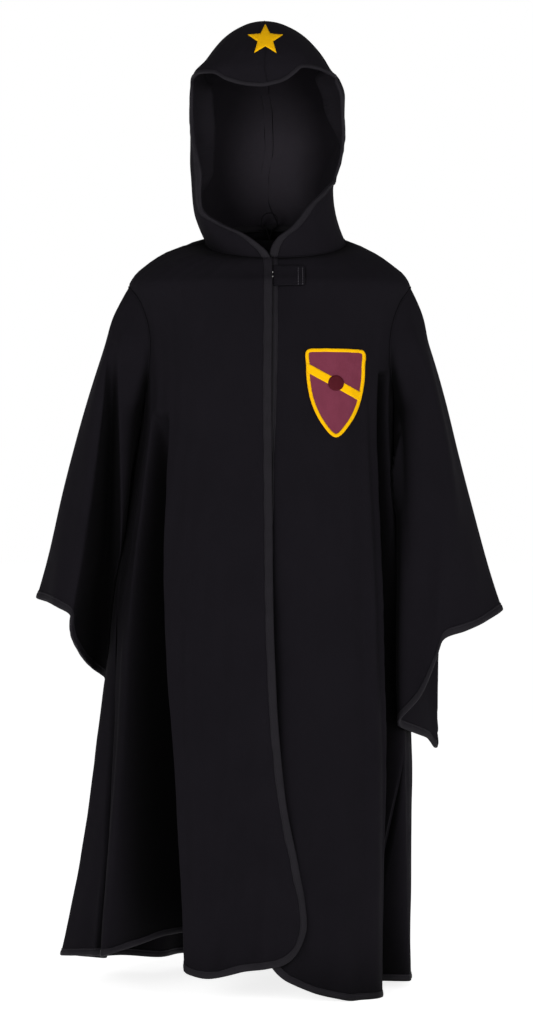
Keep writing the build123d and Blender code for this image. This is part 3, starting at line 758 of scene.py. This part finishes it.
def hood_point(b, h, out=0.0):
    """The hood's outer face: b turns from the front middle over the wearer's right to the back."""
    b, h = np.broadcast_arrays(np.asarray(b, float), np.asarray(h, float))
    t, xl, xr, yf, yb, square = np.moveaxis(smooth(HOOD[:, 0], HOOD[:, 1:], h), -1, 0)
    t = np.radians(t)
    sb, cb = np.sin(b), np.cos(b)
    mid = np.clip((xl + xr) / 2, -6, 8)
    front = cb > 0
    power = 2.0 / np.where(front, square, 2.1)
    reach_x = np.where(sb > 0, mid - xl, xr - mid)
    x = mid - np.sign(sb) * reach_x * np.abs(sb) ** power
    y = np.where(front, yf, yb) * np.abs(cb) ** power
    # An inward crease behind the face edge on each side, and slow unevenness.
    band = step((h - 925) / 50) * step((1105 - h) / 40)
    pinch = 27.0 * band * np.exp(-(((y - 8) / 15.0) ** 2)) * (sb > 0)
    left_band = step((h - 985) / 70) * step((1108 - h) / 32)
    pinch = pinch + 27.0 * left_band * np.exp(-(((y - 2) / 17.0) ** 2)) * (sb < 0)
    soft = step((1150.6 - h) / 30) * step((h - 886) / 40)
    pinch = pinch + soft * (2.2 * ripple(b * 2.0, h / 45, 21) + 0.6 * ripple(b * 7, h / 16, 22))
    pinch = pinch - out
    r = np.maximum(np.hypot(x - mid, y), 1e-6)
    x = x - (x - mid) / r * pinch
    y = y - y / r * pinch
    z = h + y * np.tan(t)
    return np.stack([x, y * np.cos(t) ** 0.5, z], -1) * MM


CORNER_H = 1077.0
# The face edge from brim corner to throat as (height, x), on the wearer's right and left.
CHEEK_RIGHT = [(1077, -92.6), (1054, -93.2), (1022, -91.4), (1005, -89.5), (985, -84), (964, -80), (941, -81),
               (931, -79.5), (923.5, -74), (915, -57.5), (907, -31), (899, -14), (892, -3), (886, 1.5)]
CHEEK_LEFT = [(1077, 78.5), (1054, 86.5), (1011, 90), (985, 86), (962, 78.5), (946, 64), (932, 46),
              (921, 35), (912, 24), (904, 10), (895, 2.5), (886, -0.5)]
BRIM = [(-92.6, 1077), (-86, 1080.5), (-68, 1079), (-49, 1070), (-26, 1064), (-10, 1062.5), (14, 1069.5),
        (33, 1079), (48, 1085), (64, 1084), (73, 1080.5), (78.5, 1077)]


def face_angle(h, x, side):
    """The ring angle where the hood meets x at height h, on the front half."""
    values = smooth(HOOD[:, 0], HOOD[:, 1:], h)
    xl, xr, square = values[..., 1], values[..., 2], values[..., 5]
    mid = np.clip((xl + xr) / 2, -6, 8)
    reach = np.where(side > 0, mid - xl, xr - mid)
    share = np.clip((mid - x) * side / reach, -0.9995, 0.9995)
    return np.sign(share) * np.arcsin(np.abs(share) ** (square / 2))


lower_h = np.concatenate([np.linspace(886, 930, 34, endpoint=False), np.linspace(930, CORNER_H, 50)])
cheek_r = np.array(CHEEK_RIGHT[::-1], float)
cheek_l = np.array(CHEEK_LEFT[::-1], float)
from_b = face_angle(lower_h, smooth(cheek_r[:, 0], cheek_r[:, 1], lower_h), 1)
to_b = 2 * np.pi - face_angle(lower_h, smooth(cheek_l[:, 0], cheek_l[:, 1], lower_h), -1)
SIDE_COLS = 150
share = np.linspace(0, 1, SIDE_COLS)
lower_b = from_b[:, None] + share[None, :] * (to_b - from_b)[:, None]
throat = 3.6 * step((911 - lower_h[:, None]) / 25.0) * step((0.14 - share[None, :]) / 0.14)
lower = hood_point(lower_b, lower_h[:, None], throat)

brim = np.array(BRIM, float)
corner_r, corner_l = from_b[-1], to_b[-1] - 2 * np.pi
FRONT_COLS = 70
front_b = np.linspace(corner_l, corner_r, FRONT_COLS)[::-1]     # wearer's right to left
front_x = hood_point(front_b, np.full(FRONT_COLS, CORNER_H))[:, 0] / MM
front_bottom = smooth(brim[:, 0], brim[:, 1], front_x)
crown_share = 1 - (1 - np.linspace(0, 1, 60)) ** 2.0
front_h = front_bottom[None, :] + crown_share[:, None] * (1150.6 - front_bottom[None, :])
crown_front = hood_point(front_b[None, :], front_h)
crown_back = hood_point(lower_b[-1][None, :], (CORNER_H + crown_share * (1150.6 - CORNER_H))[:, None])


# ---- cloth pieces ----------------------------------------------------------------------------
def face_outwards(obj, centre=None):
    """Turns all faces of a sheet so that they look away from its upright middle."""
    me = obj.data
    total = 0.0
    mid = np.mean([v.co for v in me.vertices], axis=0) if centre is None else np.asarray(centre, float)
    for poly in me.polygons:
        d = np.array(poly.center) - mid
        d[2] *= 0.15
        total += poly.area * float(np.dot(d, poly.normal))
    if total < 0:
        me.flip_normals()
    return obj


def raw_sheet(name, g, material, wrap=False, centre=None):
    rows, cols = g.shape[:2]
    obj = mesh_object(name, g.reshape(-1, 3), grid_faces(rows, cols, wrap), material)
    return face_outwards(obj, centre)


def outward_normals(g, wrap=False, centre=(0, 0, 0)):
    n = grid_normals(g, wrap)
    d = g - np.array(centre)
    d[..., 2] *= 0.15
    return -n if (n * d).sum() < 0 else n


BODY_MID = (-0.012, 0.0, 0.45)
n_right, n_left, n_back = (outward_normals(g, centre=BODY_MID) for g in (right_front, left_front, back))

front_right_cloth = thicken(raw_sheet("front_right_cloth", right_front, black_cloth, centre=BODY_MID))
front_left_cloth = thicken(raw_sheet("front_left_cloth", left_front, black_cloth, centre=BODY_MID))
back_cloth = thicken(raw_sheet("back_cloth", back, black_cloth, centre=BODY_MID))

sleeve_right_cloth = thicken(raw_sheet("sleeve_right_cloth", right_sleeve, black_cloth, True))
sleeve_left_cloth = thicken(raw_sheet("sleeve_left_cloth", left_sleeve, black_cloth, True))


def hood_mesh():
    """Two grids, below and above the brim corners, joined along their shared row."""
    parts = [lower, crown_back, crown_front]
    verts, faces, start = [], [], 0
    for g in parts:
        verts.append(g.reshape(-1, 3))
        faces.append(grid_faces(*g.shape[:2], start=start))
        start += g.shape[0] * g.shape[1]
    obj = mesh_object("hood_cloth", np.vstack(verts), np.vstack(faces), black_cloth)
    bm = bmesh.new()
    bm.from_mesh(obj.data)
    bmesh.ops.remove_doubles(bm, verts=bm.verts, dist=2e-5)
    bmesh.ops.dissolve_degenerate(bm, edges=bm.edges, dist=1e-6)
    bmesh.ops.recalc_face_normals(bm, faces=bm.faces)
    bm.to_mesh(obj.data)
    bm.free()
    return face_outwards(obj, (0, 0.03, 1.02))


hood_cloth = thicken(hood_mesh(), inside=lining_cloth)


def tree_of(obj):
    me = obj.data
    return BVHTree.FromPolygons([v.co[:] for v in me.vertices], [p.vertices[:] for p in me.polygons])


# ---- bindings ---------------------------------------------------------------------------------
def edge_frame(g, n, which):
    """Edge line, normals and inward directions of a grid border."""
    if which == "right_col":
        return g[:, -1], n[:, -1], unit(g[:, -4] - g[:, -1])
    if which == "bottom":
        return g[-1], n[-1], unit(g[-4] - g[-1])
    return g[0], n[0], unit(g[3] - g[0])


def joined(*runs):
    """Several (edge, normal, inward) runs end to end."""
    return [np.vstack([r[i] for r in runs]) for i in range(3)]


FRONT_WIDTH = np.array([0.0094, 0.0090, 0.0087, 0.0085, 0.0074, 0.0070])     # from throat to side seam


def front_binding(name, g, n, cloth, seed):
    """One strip from the throat down the free edge, round the corner and along the hem."""
    e1 = edge_frame(g, n, "right_col")
    e2 = [v[::-1] for v in edge_frame(g, n, "bottom")]
    edge, normal, inward = joined(e1, [v[1:] for v in e2])
    # Near the corner the inward direction turns smoothly from one border to the other.
    tangent = unit(np.gradient(edge, axis=0))
    square = unit(np.cross(tangent, normal))
    square *= np.sign((square * inward).sum(1, keepdims=True) + 1e-9)
    return binding(name, edge, normal, square, binding_cloth, FRONT_WIDTH, seed=seed, on=tree_of(cloth))


front_right_binding = front_binding("front_right_binding", right_front, n_right, front_right_cloth, 31)
front_left_binding = front_binding("front_left_binding", left_front, n_left, front_left_cloth, 32)
back_binding = binding("back_hem_strip", *edge_frame(back, n_back, "bottom"), binding_cloth, 0.0076, seed=33)

MID_R = right_sleeve.mean((0, 1))
MID_L = left_sleeve.mean((0, 1))


def sleeve_binding(name, g, mid, seed):
    n = outward_normals(g, True, mid)
    edge, normal, inward = g[-1], n[-1], unit(g[-4] - g[-1])
    return binding(name, edge, normal, inward, binding_cloth, 0.0086, closed=True, seed=seed)


sleeve_right_binding = sleeve_binding("sleeve_right_binding", right_sleeve, MID_R, 34)
sleeve_left_binding = sleeve_binding("sleeve_left_binding", left_sleeve, MID_L, 35)

HOOD_MID = (0, 0.03, 1.02)
n_lower = outward_normals(lower, centre=HOOD_MID)
n_crown = outward_normals(crown_front, centre=HOOD_MID)
cheek_right_run = (lower[:, 0], n_lower[:, 0], unit(lower[:, 3] - lower[:, 0]))
brim_run = (crown_front[0], n_crown[0], unit(crown_front[3] - crown_front[0]))
cheek_left_run = (lower[::-1, -1], n_lower[::-1, -1], unit(lower[::-1, -4] - lower[::-1, -1]))
face_edge, face_normal, face_inward = joined(
    cheek_right_run, [v[1:] for v in brim_run], [v[1:] for v in cheek_left_run]
)


def soften(values, times=6):
    for _ in range(times):
        values = np.vstack([values[:1], (values[:-2] + 2 * values[1:-1] + values[2:]) / 4, values[-1:]])
    return unit(values)


hood_binding = binding(
    "hood_face_binding", face_edge, soften(face_normal), soften(face_inward), binding_cloth, seed=36,
    width=smooth([0, 0.26, 0.36, 0.66, 0.74, 1], [0.0098, 0.0080, 0.0042, 0.0042, 0.0080, 0.0098],
                 np.linspace(0, 1, 60)),
)


# ---- appliqués --------------------------------------------------------------------------------
def inside(point, loop):
    x, y = point
    hit = False
    for (x1, y1), (x2, y2) in zip(loop, loop[1:] + loop[:1]):
        if (y1 > y) != (y2 > y) and x < (x2 - x1) * (y - y1) / (y2 - y1) + x1:
            hit = not hit
    return hit


def rounded_loop(points, per_side=5, bulge=None):
    """A polygon whose sides bow by bulge (a share of each side), as a dense loop."""
    out = []
    for i, p in enumerate(points):
        a, b = np.array(p, float), np.array(points[(i + 1) % len(points)], float)
        k = bulge[i] if bulge else 0.0
        nrm = np.array([b[1] - a[1], a[0] - b[0]])
        for t in np.arange(per_side) / per_side:
            out.append(tuple(a + (b - a) * t + nrm * k * 4 * t * (1 - t)))
    return out


def curved_loop(points, per_side=5):
    t = np.linspace(0, len(points), len(points) * per_side, endpoint=False)
    return [tuple(p) for p in through(np.array(points, float), t, closed=True)]


def shrink(loop, by):
    """A closed loop moved inwards by a distance."""
    p = np.array(loop, float)
    t = unit(np.roll(p, -1, 0) - np.roll(p, 1, 0))
    n = np.stack([-t[:, 1], t[:, 0]], -1)
    if inside(tuple(p[0] + n[0] * 0.05), loop) is False:
        n = -n
    return [tuple(q) for q in p + n * by]


def applique(name, loops, keep, cloth_tree, low, high, material, cell=2.2, crown=0.0):
    """A flat shape in (x, z) mm, laid on cloth seen from the front, between two heights in mm."""
    points, edges = [], []
    for loop in loops:
        start = len(points)
        points += [Vector(p) for p in loop]
        edges += [(start + i, start + (i + 1) % len(loop)) for i in range(len(loop))]
    xs, ys = [p.x for p in points], [p.y for p in points]
    for i, gx in enumerate(np.arange(min(xs), max(xs), cell)):
        for gy in np.arange(min(ys) + (i % 2) * cell / 2, max(ys), cell):
            if keep((gx, gy)):
                points.append(Vector((gx, gy)))
    flat, _, tris, *_ = delaunay_2d_cdt(points, edges, [], 0, 1e-4)
    tris = [t for t in tris if keep(tuple(sum((flat[i] for i in t), Vector((0, 0))) / len(t)))]
    used = sorted({i for t in tris for i in t})
    index = {v: k for k, v in enumerate(used)}
    count = {}
    for t in tris:
        for a, b in zip(t, t[1:] + t[:1]):
            count[(a, b)] = count.get((a, b), 0) + 1
    rim = [(a, b) for (a, b) in count if (b, a) not in count]
    on_rim = {a for a, b in rim} | {b for a, b in rim}
    base, normal = [], []
    for i in used:
        hit = cloth_tree.ray_cast(Vector((flat[i].x * MM, -1.0, flat[i].y * MM)), Vector((0, 1, 0)))
        if hit[0] is None:
            near = cloth_tree.find_nearest(Vector((flat[i].x * MM, -0.06, flat[i].y * MM)))
            hit = (near[0], near[1])
        nrm = Vector(hit[1])
        if nrm.y > 0:
            nrm = -nrm
        base.append(np.array(hit[0]))
        normal.append(np.array(nrm))
    base, normal = np.array(base), unit(np.array(normal))
    neighbours = {k: [] for k in range(len(used))}
    for t in tris:
        for a, b in zip(t, t[1:] + t[:1]):
            neighbours[index[a]].append(index[b])
            neighbours[index[b]].append(index[a])
    for _ in range(3):
        normal = unit(np.array([normal[k] + normal[neighbours[k]].mean(0) for k in range(len(used))]))
    lift = np.array([(low + (high - low) * 0.5) if i in on_rim else high for i in used])
    if crown:
        lift = lift + crown
    top = base + normal * (lift * MM)[:, None]
    bottom = base + normal * (low * MM)
    k = len(used)
    faces = [tuple(index[i] for i in t) for t in tris]
    faces += [tuple(index[i] + k for i in t[::-1]) for t in tris]
    faces += [(index[b], index[a], index[a] + k, index[b] + k) for a, b in rim]
    obj = mesh_object(name, np.vstack([top, bottom]), faces, material)
    bm = bmesh.new()
    bm.from_mesh(obj.data)
    bmesh.ops.recalc_face_normals(bm, faces=bm.faces)
    bm.to_mesh(obj.data)
    bm.free()
    return obj


def on_cloth(points, cloth_tree, out):
    """(x, z) mm points carried onto cloth as a path, with normals."""
    path, normal = [], []
    for x, z in points:
        hit = cloth_tree.ray_cast(Vector((x * MM, -1.0, z * MM)), Vector((0, 1, 0)))
        if hit[0] is None:
            near = cloth_tree.find_nearest(Vector((x * MM, -0.06, z * MM)))
            hit = (near[0], near[1])
        n = Vector(hit[1])
        n = -n if n.y > 0 else n
        path.append(np.array(hit[0]) + np.array(n) * out * MM)
        normal.append(np.array(n))
    return np.array(path), np.array(normal)


left_tree = tree_of(front_left_cloth)
hood_tree = tree_of(hood_cloth)

BADGE = (77.0, 706.5)


def at_badge(points):
    return [(x + BADGE[0], z + BADGE[1]) for x, z in points]


SHIELD = at_badge([(-34, 45), (-17, 47.5), (0, 47.5), (17, 47.5), (34, 45), (34.5, 27), (33.5, 8), (28.5, -16),
                   (17, -40), (0, -56.5), (-17, -40), (-28.5, -16), (-33.5, 8), (-34.5, 27)])
shield_loop = curved_loop(SHIELD, 6)
inner_loop = shrink(shield_loop, 4.0)
bend_loop = rounded_loop(at_badge([(-44, 25), (-44, 36), (44, -11), (44, -22)]), 12)
turns = np.linspace(0, 2 * np.pi, 40, endpoint=False)
roundel_loop = at_badge([(9.0 * np.cos(t), 7.0 + 9.0 * np.sin(t)) for t in turns])


def in_frame(p):
    """True on the shield's border and on its plain diagonal band."""
    if not inside(p, shield_loop):
        return False
    return not inside(p, inner_loop) or inside(p, bend_loop)


shield_base = applique(
    "shield_base", [shield_loop], lambda p: inside(p, shield_loop), left_tree, 0.1, 1.1, wine_felt, 3.0
)
shield_trim = applique(
    "shield_trim", [shield_loop, inner_loop, bend_loop], in_frame, left_tree,
    1.0, 2.0, yellow_thread, 1.8,
)
shield_disc = applique(
    "shield_disc", [roundel_loop], lambda p: inside(p, roundel_loop), left_tree, 1.9, 2.7, maroon_thread, 1.6
)

STAR_PLACE = (-5.0, 1119.0)
star = [(STAR_PLACE[0] + r * math.sin(k * math.pi / 5), STAR_PLACE[1] + r * math.cos(k * math.pi / 5))
        for k, r in enumerate([22.0, 9.5] * 5)]
star_loop = rounded_loop(star, 4)
brow_star = applique(
    "brow_star", [star_loop], lambda p: inside(p, star_loop), hood_tree, 0.1, 1.3, gold_thread, 1.8
)

# ---- closure ----------------------------------------------------------------------------------
TAB_Z = (828.5, 852.5)
TAB_X = (2.6, 41.5)
tab_loop = curved_loop([(TAB_X[0], TAB_Z[0]), (14, TAB_Z[0] - 0.4), (30, TAB_Z[0]), (TAB_X[1] - 1.5, TAB_Z[0] + 0.5),
                        (TAB_X[1], TAB_Z[0] + 3), (TAB_X[1] + 0.3, 841), (TAB_X[1], TAB_Z[1] - 3),
                        (TAB_X[1] - 1.5, TAB_Z[1]), (30, TAB_Z[1] + 0.3), (14, TAB_Z[1]), (TAB_X[0], TAB_Z[1] - 0.4),
                        (TAB_X[0] - 0.2, 841)], 6)
neck_tab = applique(
    "neck_tab_cloth", [tab_loop], lambda p: inside(p, tab_loop), left_tree, 1.0, 2.0, black_cloth, 2.5
)
patch_hook = rounded_loop([(14, 831), (38, 831), (38, 850), (14, 850)], 6)
hook_piece = applique(
    "hook_tape", [patch_hook], lambda p: inside(p, patch_hook), left_tree, 0.5, 0.98, hook_nylon, 2.5
)
patch_loop = rounded_loop([(13, 830.5), (38.5, 830.5), (38.5, 850.5), (13, 850.5)], 6)
loop_piece = applique(
    "loop_tape", [patch_loop], lambda p: inside(p, patch_loop), left_tree, 0.1, 0.48, hook_nylon, 2.5
)


def stitches(name, points, cloth_tree, out, material, length=2.0, gap=1.1, radius=0.00028):
    """A row of separate thread stitches along (x, z) points on cloth."""
    path, normal = on_cloth(points, cloth_tree, out)
    q, (p, n) = resample(path, 0.0005, normal)
    pitch, size = (length + gap) * MM, length * MM
    verts, faces = [], []
    s = 0.0
    while s + size < q[-1]:
        m = 5
        t = np.linspace(s, s + size, m)
        c = np.stack([np.interp(t, q, p[:, i]) for i in range(3)], -1)
        nn = unit(np.stack([np.interp(t, q, n[:, i]) for i in range(3)], -1))
        tan = unit(np.gradient(c, axis=0))
        side = np.cross(tan, nn)
        thick = radius * np.array([0.5, 0.95, 1.0, 0.95, 0.5])
        sunk = radius * np.array([-1.2, -0.1, 0.1, -0.1, -1.2])
        base = len(verts)
        for i in range(m):
            for a in range(6):
                w = a * math.pi / 3
                verts.append(c[i] + side[i] * thick[i] * math.cos(w) + nn[i] * (thick[i] * math.sin(w) + sunk[i]))
        faces += [tuple(int(v) for v in f) for f in grid_faces(m, 6, True, base)]
        faces += [tuple(range(base, base + 6)), tuple(range(base + (m - 1) * 6, base + m * 6))[::-1]]
        s += pitch
    obj = mesh_object(name, verts, faces, material)
    bm = bmesh.new()
    bm.from_mesh(obj.data)
    bmesh.ops.recalc_face_normals(bm, faces=bm.faces)
    bm.to_mesh(obj.data)
    bm.free()
    return obj


tab_tree = tree_of(neck_tab)
tab_rows = []
for x in (33.6, 38.8):
    tab_rows.append(stitches(f"tab_stitch_{int(x)}", [(x, z) for z in np.linspace(829.5, 851.5, 20)],
                             tab_tree, 0.25, stitch_thread))
for z in (830.2, 850.8):
    tab_rows.append(stitches(f"tab_stitch_row_{int(z)}", [(x, z) for x in np.linspace(5, 40, 20)],
                             tab_tree, 0.25, seam_thread))
tab_rows.append(stitches("tab_tack", [(3.6, z) for z in np.linspace(838.5, 851, 12)], tab_tree, 0.3, tack_thread,
                         length=2.6, gap=3.6, radius=0.0005))

# ---- seams, tapes, loop and labels --------------------------------------------------------------
armhole_right_cord = cord("armhole_seam_cord_right", armhole_ring(-1, 120), 0.0011, black_cloth, closed=True)
armhole_left_cord = cord("armhole_seam_cord_left", armhole_ring(1, 120), 0.0011, black_cloth, closed=True)


def inner_strip(name, a, h, deep, thick, material):
    """An overlocked seam edge: a strip standing inwards from the cloth along a line of (a, h)."""
    outer = body_point(a, h, -CLOTH / MM - 0.4)
    inner = body_point(a, h, -CLOTH / MM - 0.4 - deep)
    along = unit(np.gradient(outer, axis=0))
    side = unit(np.cross(along, inner - outer)) * thick / 2 * MM
    wave = 0.0006 * np.sin(np.arange(len(outer)) * 1.9)[:, None] * unit(inner - outer)
    ring = np.stack([outer + side, inner + side + wave, inner - side + wave, outer - side], 1)
    rows = len(outer)
    faces = [tuple(f) for f in grid_faces(rows, 4, True)]
    faces += [(0, 1, 2, 3), tuple(range((rows - 1) * 4, rows * 4))[::-1]]
    obj = mesh_object(name, ring.reshape(-1, 3), faces, material)
    bm = bmesh.new()
    bm.from_mesh(obj.data)
    bmesh.ops.recalc_face_normals(bm, faces=bm.faces)
    bm.to_mesh(obj.data)
    bm.free()
    return obj


side_h = np.arange(46, 692, 3.0)
side_strip_right = inner_strip("side_seam_edge_right", right_seam_angle(side_h), side_h, 7.0, 1.4, seam_thread)
side_strip_left = inner_strip("side_seam_edge_left", left_seam_angle(side_h), side_h, 7.0, 1.4, seam_thread)
shoulder_h = np.arange(836, 884, 1.0)
shoulder_strip_right = inner_strip("shoulder_seam_edge_right", 0.0 * shoulder_h, shoulder_h, 6.0, 1.4, seam_thread)
shoulder_strip_left = inner_strip("shoulder_seam_edge_left", math.pi + 0.0 * shoulder_h, shoulder_h, 6.0, 1.4, seam_thread)

neck_b = np.linspace(math.pi * 0.52, math.pi * 1.48, 90)
neck_line = hood_point(neck_b, np.full(90, 887.0), -CLOTH / MM - 0.8)
neck_tape = cord("neck_tape", neck_line, 0.004, ribbon_cloth, sides=10, flat=(0.0045, 0.0006),
                 normal=unit(neck_line - np.array([0, 0, 0.9])) * np.array([1, 1, 0]))
back_h_line = np.linspace(893, 1140, 90)
hood_back_line = hood_point(math.pi, back_h_line, -CLOTH / MM - 0.35)
hood_tape = cord("hood_inside_tape", hood_back_line, 0.005, lining_cloth, sides=10, flat=(0.0055, 0.0003),
                 normal=np.tile([0.0, -1.0, 0.0], (90, 1)))

loop_low, loop_high = (np.array(v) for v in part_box("hanging_loop"))
loop_x = (loop_low[0] + loop_high[0]) / 2
loop_y = (loop_low[1] + loop_high[1]) / 2
loop_top = loop_high[2] - 0.011
turn = np.linspace(-math.pi / 2 + 0.35, 1.5 * math.pi - 0.35, 60)
loop_path = np.stack([loop_x + 0.0100 * np.cos(turn), np.full(60, loop_y), loop_top + 0.0100 * np.sin(turn)], -1)
tail = loop_path[-1] + np.outer(np.linspace(0, 1, 12)[1:], [0.0036, 0.0006, -0.0125])
head = loop_path[0] + np.outer(np.linspace(1, 0, 12)[:-1], [-0.0036, 0.0002, -0.0125])
loop_ribbon = np.vstack([head, loop_path, tail])
ribbon_up = np.tile([0.0, -1.0, 0.0], (len(loop_ribbon), 1))
hanging_ribbon = cord("hanging_ribbon", loop_ribbon, 0.003, ribbon_cloth, sides=12, spacing=0.0012,
                      flat=(0.0006, 0.0029), normal=ribbon_up)


def label(name, low, high, material, bend=0.0012):
    """A small blank woven label with folded ends."""
    low, high = np.array(low), np.array(high)
    u, v = np.meshgrid(np.linspace(0, 1, 30), np.linspace(0, 1, 18))
    span = high - low
    wide = 0 if span[0] >= span[1] else 1
    g = np.zeros(u.shape + (3,))
    g[..., wide] = low[wide] + span[wide] * u
    g[..., 1 - wide] = (low[1 - wide] + high[1 - wide]) / 2 + bend * np.sin(math.pi * u) * (v - 0.3)
    g[..., 2] = high[2] - span[2] * v
    g[..., 1 - wide] += 0.0003 * np.exp(-((u - 0.06) / 0.02) ** 2) + 0.0003 * np.exp(-((u - 0.94) / 0.02) ** 2)
    obj = mesh_object(name, g.reshape(-1, 3), grid_faces(18, 30), material)
    return thicken(obj, 0.0005)


neck_tag = label("neck_tag", *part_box("neck_label"), label_cloth)
care_tag = label("care_tag", *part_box("care_label"), label_cloth)

# Seam cords on the hood: over the brow to the crown, and down the back to the neck.
brow_h = 1064 + (1 - (1 - np.linspace(0, 1, 50)) ** 2.2) * 86
brow_cord = cord("hood_seam_front", hood_point(0.0, brow_h, 0.1), 0.0005, black_cloth, sides=6)
rear_h = 1150 - (np.linspace(0, 1, 120) ** 1.8) * 262
rear_cord = cord("hood_seam_back", hood_point(math.pi, rear_h, 0.1), 0.0005, black_cloth, sides=6)
neck_all = hood_point(np.linspace(from_b[2], to_b[2], 160), np.full(160, 887.0), 0.5)
neck_cord = cord("neck_seam_cord", neck_all, 0.0007, black_cloth, sides=8)


# ---- baked transforms, and the pieces parented to the torso's empty -------------------------------
def bend_right(obj):
    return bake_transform(obj)


def bend_left(obj):
    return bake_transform(obj)


def bend_sleeve(obj):
    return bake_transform(obj)


def bend_hood(obj):
    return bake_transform(obj)


for piece in (front_right_cloth, front_right_binding):
    bend_right(piece)
for piece in (front_left_cloth, front_left_binding):
    bend_left(piece)
for piece in (sleeve_right_cloth,):
    bend_sleeve(piece)
for piece in (sleeve_left_cloth,):
    bend_sleeve(piece)
bend_sleeve(sleeve_right_binding)
bend_sleeve(sleeve_left_binding)
for piece in (hood_cloth, hood_binding, brow_star, brow_cord, rear_cord, hood_tape):
    bend_hood(piece)
for piece in (neck_tab, hook_piece, *tab_rows):
    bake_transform(piece)
for piece in (back_cloth, back_binding, shield_base, shield_trim, shield_disc, loop_piece, armhole_right_cord,
              armhole_left_cord, side_strip_right, side_strip_left, shoulder_strip_right, shoulder_strip_left,
              neck_tape, hanging_ribbon, neck_tag, care_tag, neck_cord):
    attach(piece, "torso")

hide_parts("front_panel_right", "front_flap_right")
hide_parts("front_panel_left", "front_flap_left")
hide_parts("back_panel")
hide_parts("front_binding_right", "side_hem_binding_right", "neck_edge_binding_right")
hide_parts("front_binding_left", "side_hem_binding_left", "neck_edge_binding_left")
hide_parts("back_hem_binding")
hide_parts("sleeve_right")
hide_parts("sleeve_left")
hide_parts("sleeve_hem_binding_right")
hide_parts("sleeve_hem_binding_left")
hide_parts("armhole_seam_right")
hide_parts("armhole_seam_left")
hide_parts("hood_panel_right", "hood_panel_left")
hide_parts("hood_edge_binding")
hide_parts("hood_seam_tape")
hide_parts("hood_star")
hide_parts("closure_tab")
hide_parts("hook_patch")
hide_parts("tab_stitching")
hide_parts("loop_patch")
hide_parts("shield_field")
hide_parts("shield_frame")
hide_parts("shield_roundel")
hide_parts("neck_seam_tape")
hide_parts("hanging_loop")
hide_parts("neck_label")
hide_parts("care_label")
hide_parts("side_seam_right")
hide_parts("side_seam_left")
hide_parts("shoulder_seam_right")
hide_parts("shoulder_seam_left")

# ---- stage ------------------------------------------------------------------------------------
floor_mat = Nodes("pale_floor")
floor_noise = floor_mat.add("ShaderNodeTexNoise", Scale=3.0, Detail=2.0)
floor_mat.finish(floor_mat.mix(floor_noise.outputs["Fac"], (0.90, 0.90, 0.90), (0.93, 0.93, 0.93)), 0.9, spec=0.0)
floor_mat.bsdf.inputs["Emission Color"].default_value = (1.0, 1.0, 1.0, 1.0)
floor_mat.bsdf.inputs["Emission Strength"].default_value = 0.82
floor_bm = bmesh.new()
bmesh.ops.create_grid(floor_bm, x_segments=8, y_segments=8, size=30.0)
floor_me = bpy.data.meshes.new("floor")
floor_bm.to_mesh(floor_me)
floor_bm.free()
floor = bpy.data.objects.new("floor", floor_me)
floor.location = (0, 0, -0.004)
floor_me.materials.append(floor_mat.mat)
bpy.context.scene.collection.objects.link(floor)

world = bpy.data.worlds.new("studio")
world.use_nodes = True
sky = world.node_tree
background = sky.nodes["Background"]
background.inputs[0].default_value = (1.0, 1.0, 1.0, 1.0)
seen = sky.nodes.new("ShaderNodeLightPath").outputs["Is Camera Ray"]
strength = sky.nodes.new("ShaderNodeMapRange")
strength.inputs["To Min"].default_value = 0.22
strength.inputs["To Max"].default_value = 1.0
sky.links.new(seen, strength.inputs["Value"])
sky.links.new(strength.outputs[0], background.inputs[1])
bpy.context.scene.world = world


def soft_light(name, place, aim, size, power):
    data = bpy.data.lights.new(name, "AREA")
    data.shape = "RECTANGLE"
    data.size, data.size_y = size
    data.energy = power
    obj = bpy.data.objects.new(name, data)
    obj.location = place
    obj.rotation_euler = (Vector(aim) - Vector(place)).to_track_quat("-Z", "Y").to_euler()
    bpy.context.scene.collection.objects.link(obj)
    return obj


soft_light("key", (-1.5, -3.0, 1.0), (0, 0, 0.6), (1.5, 1.6), 46)
soft_light("fill", (1.7, -2.9, 0.9), (0, 0, 0.6), (1.5, 1.6), 42)

DISTANCE = 3.3
camera_data = bpy.data.cameras.new("camera")
camera_data.sensor_fit = "VERTICAL"
camera_data.sensor_height = 24.0
camera_data.lens = 24.0 * 2750.0 / 1036.0
camera = bpy.data.objects.new("camera", camera_data)
camera.location = (-0.0036, -DISTANCE, 0.556)
camera.rotation_euler = (math.pi / 2, 0, 0)
bpy.context.scene.collection.objects.link(camera)
bpy.context.scene.camera = camera
bpy.context.scene.view_settings.view_transform = "Standard"
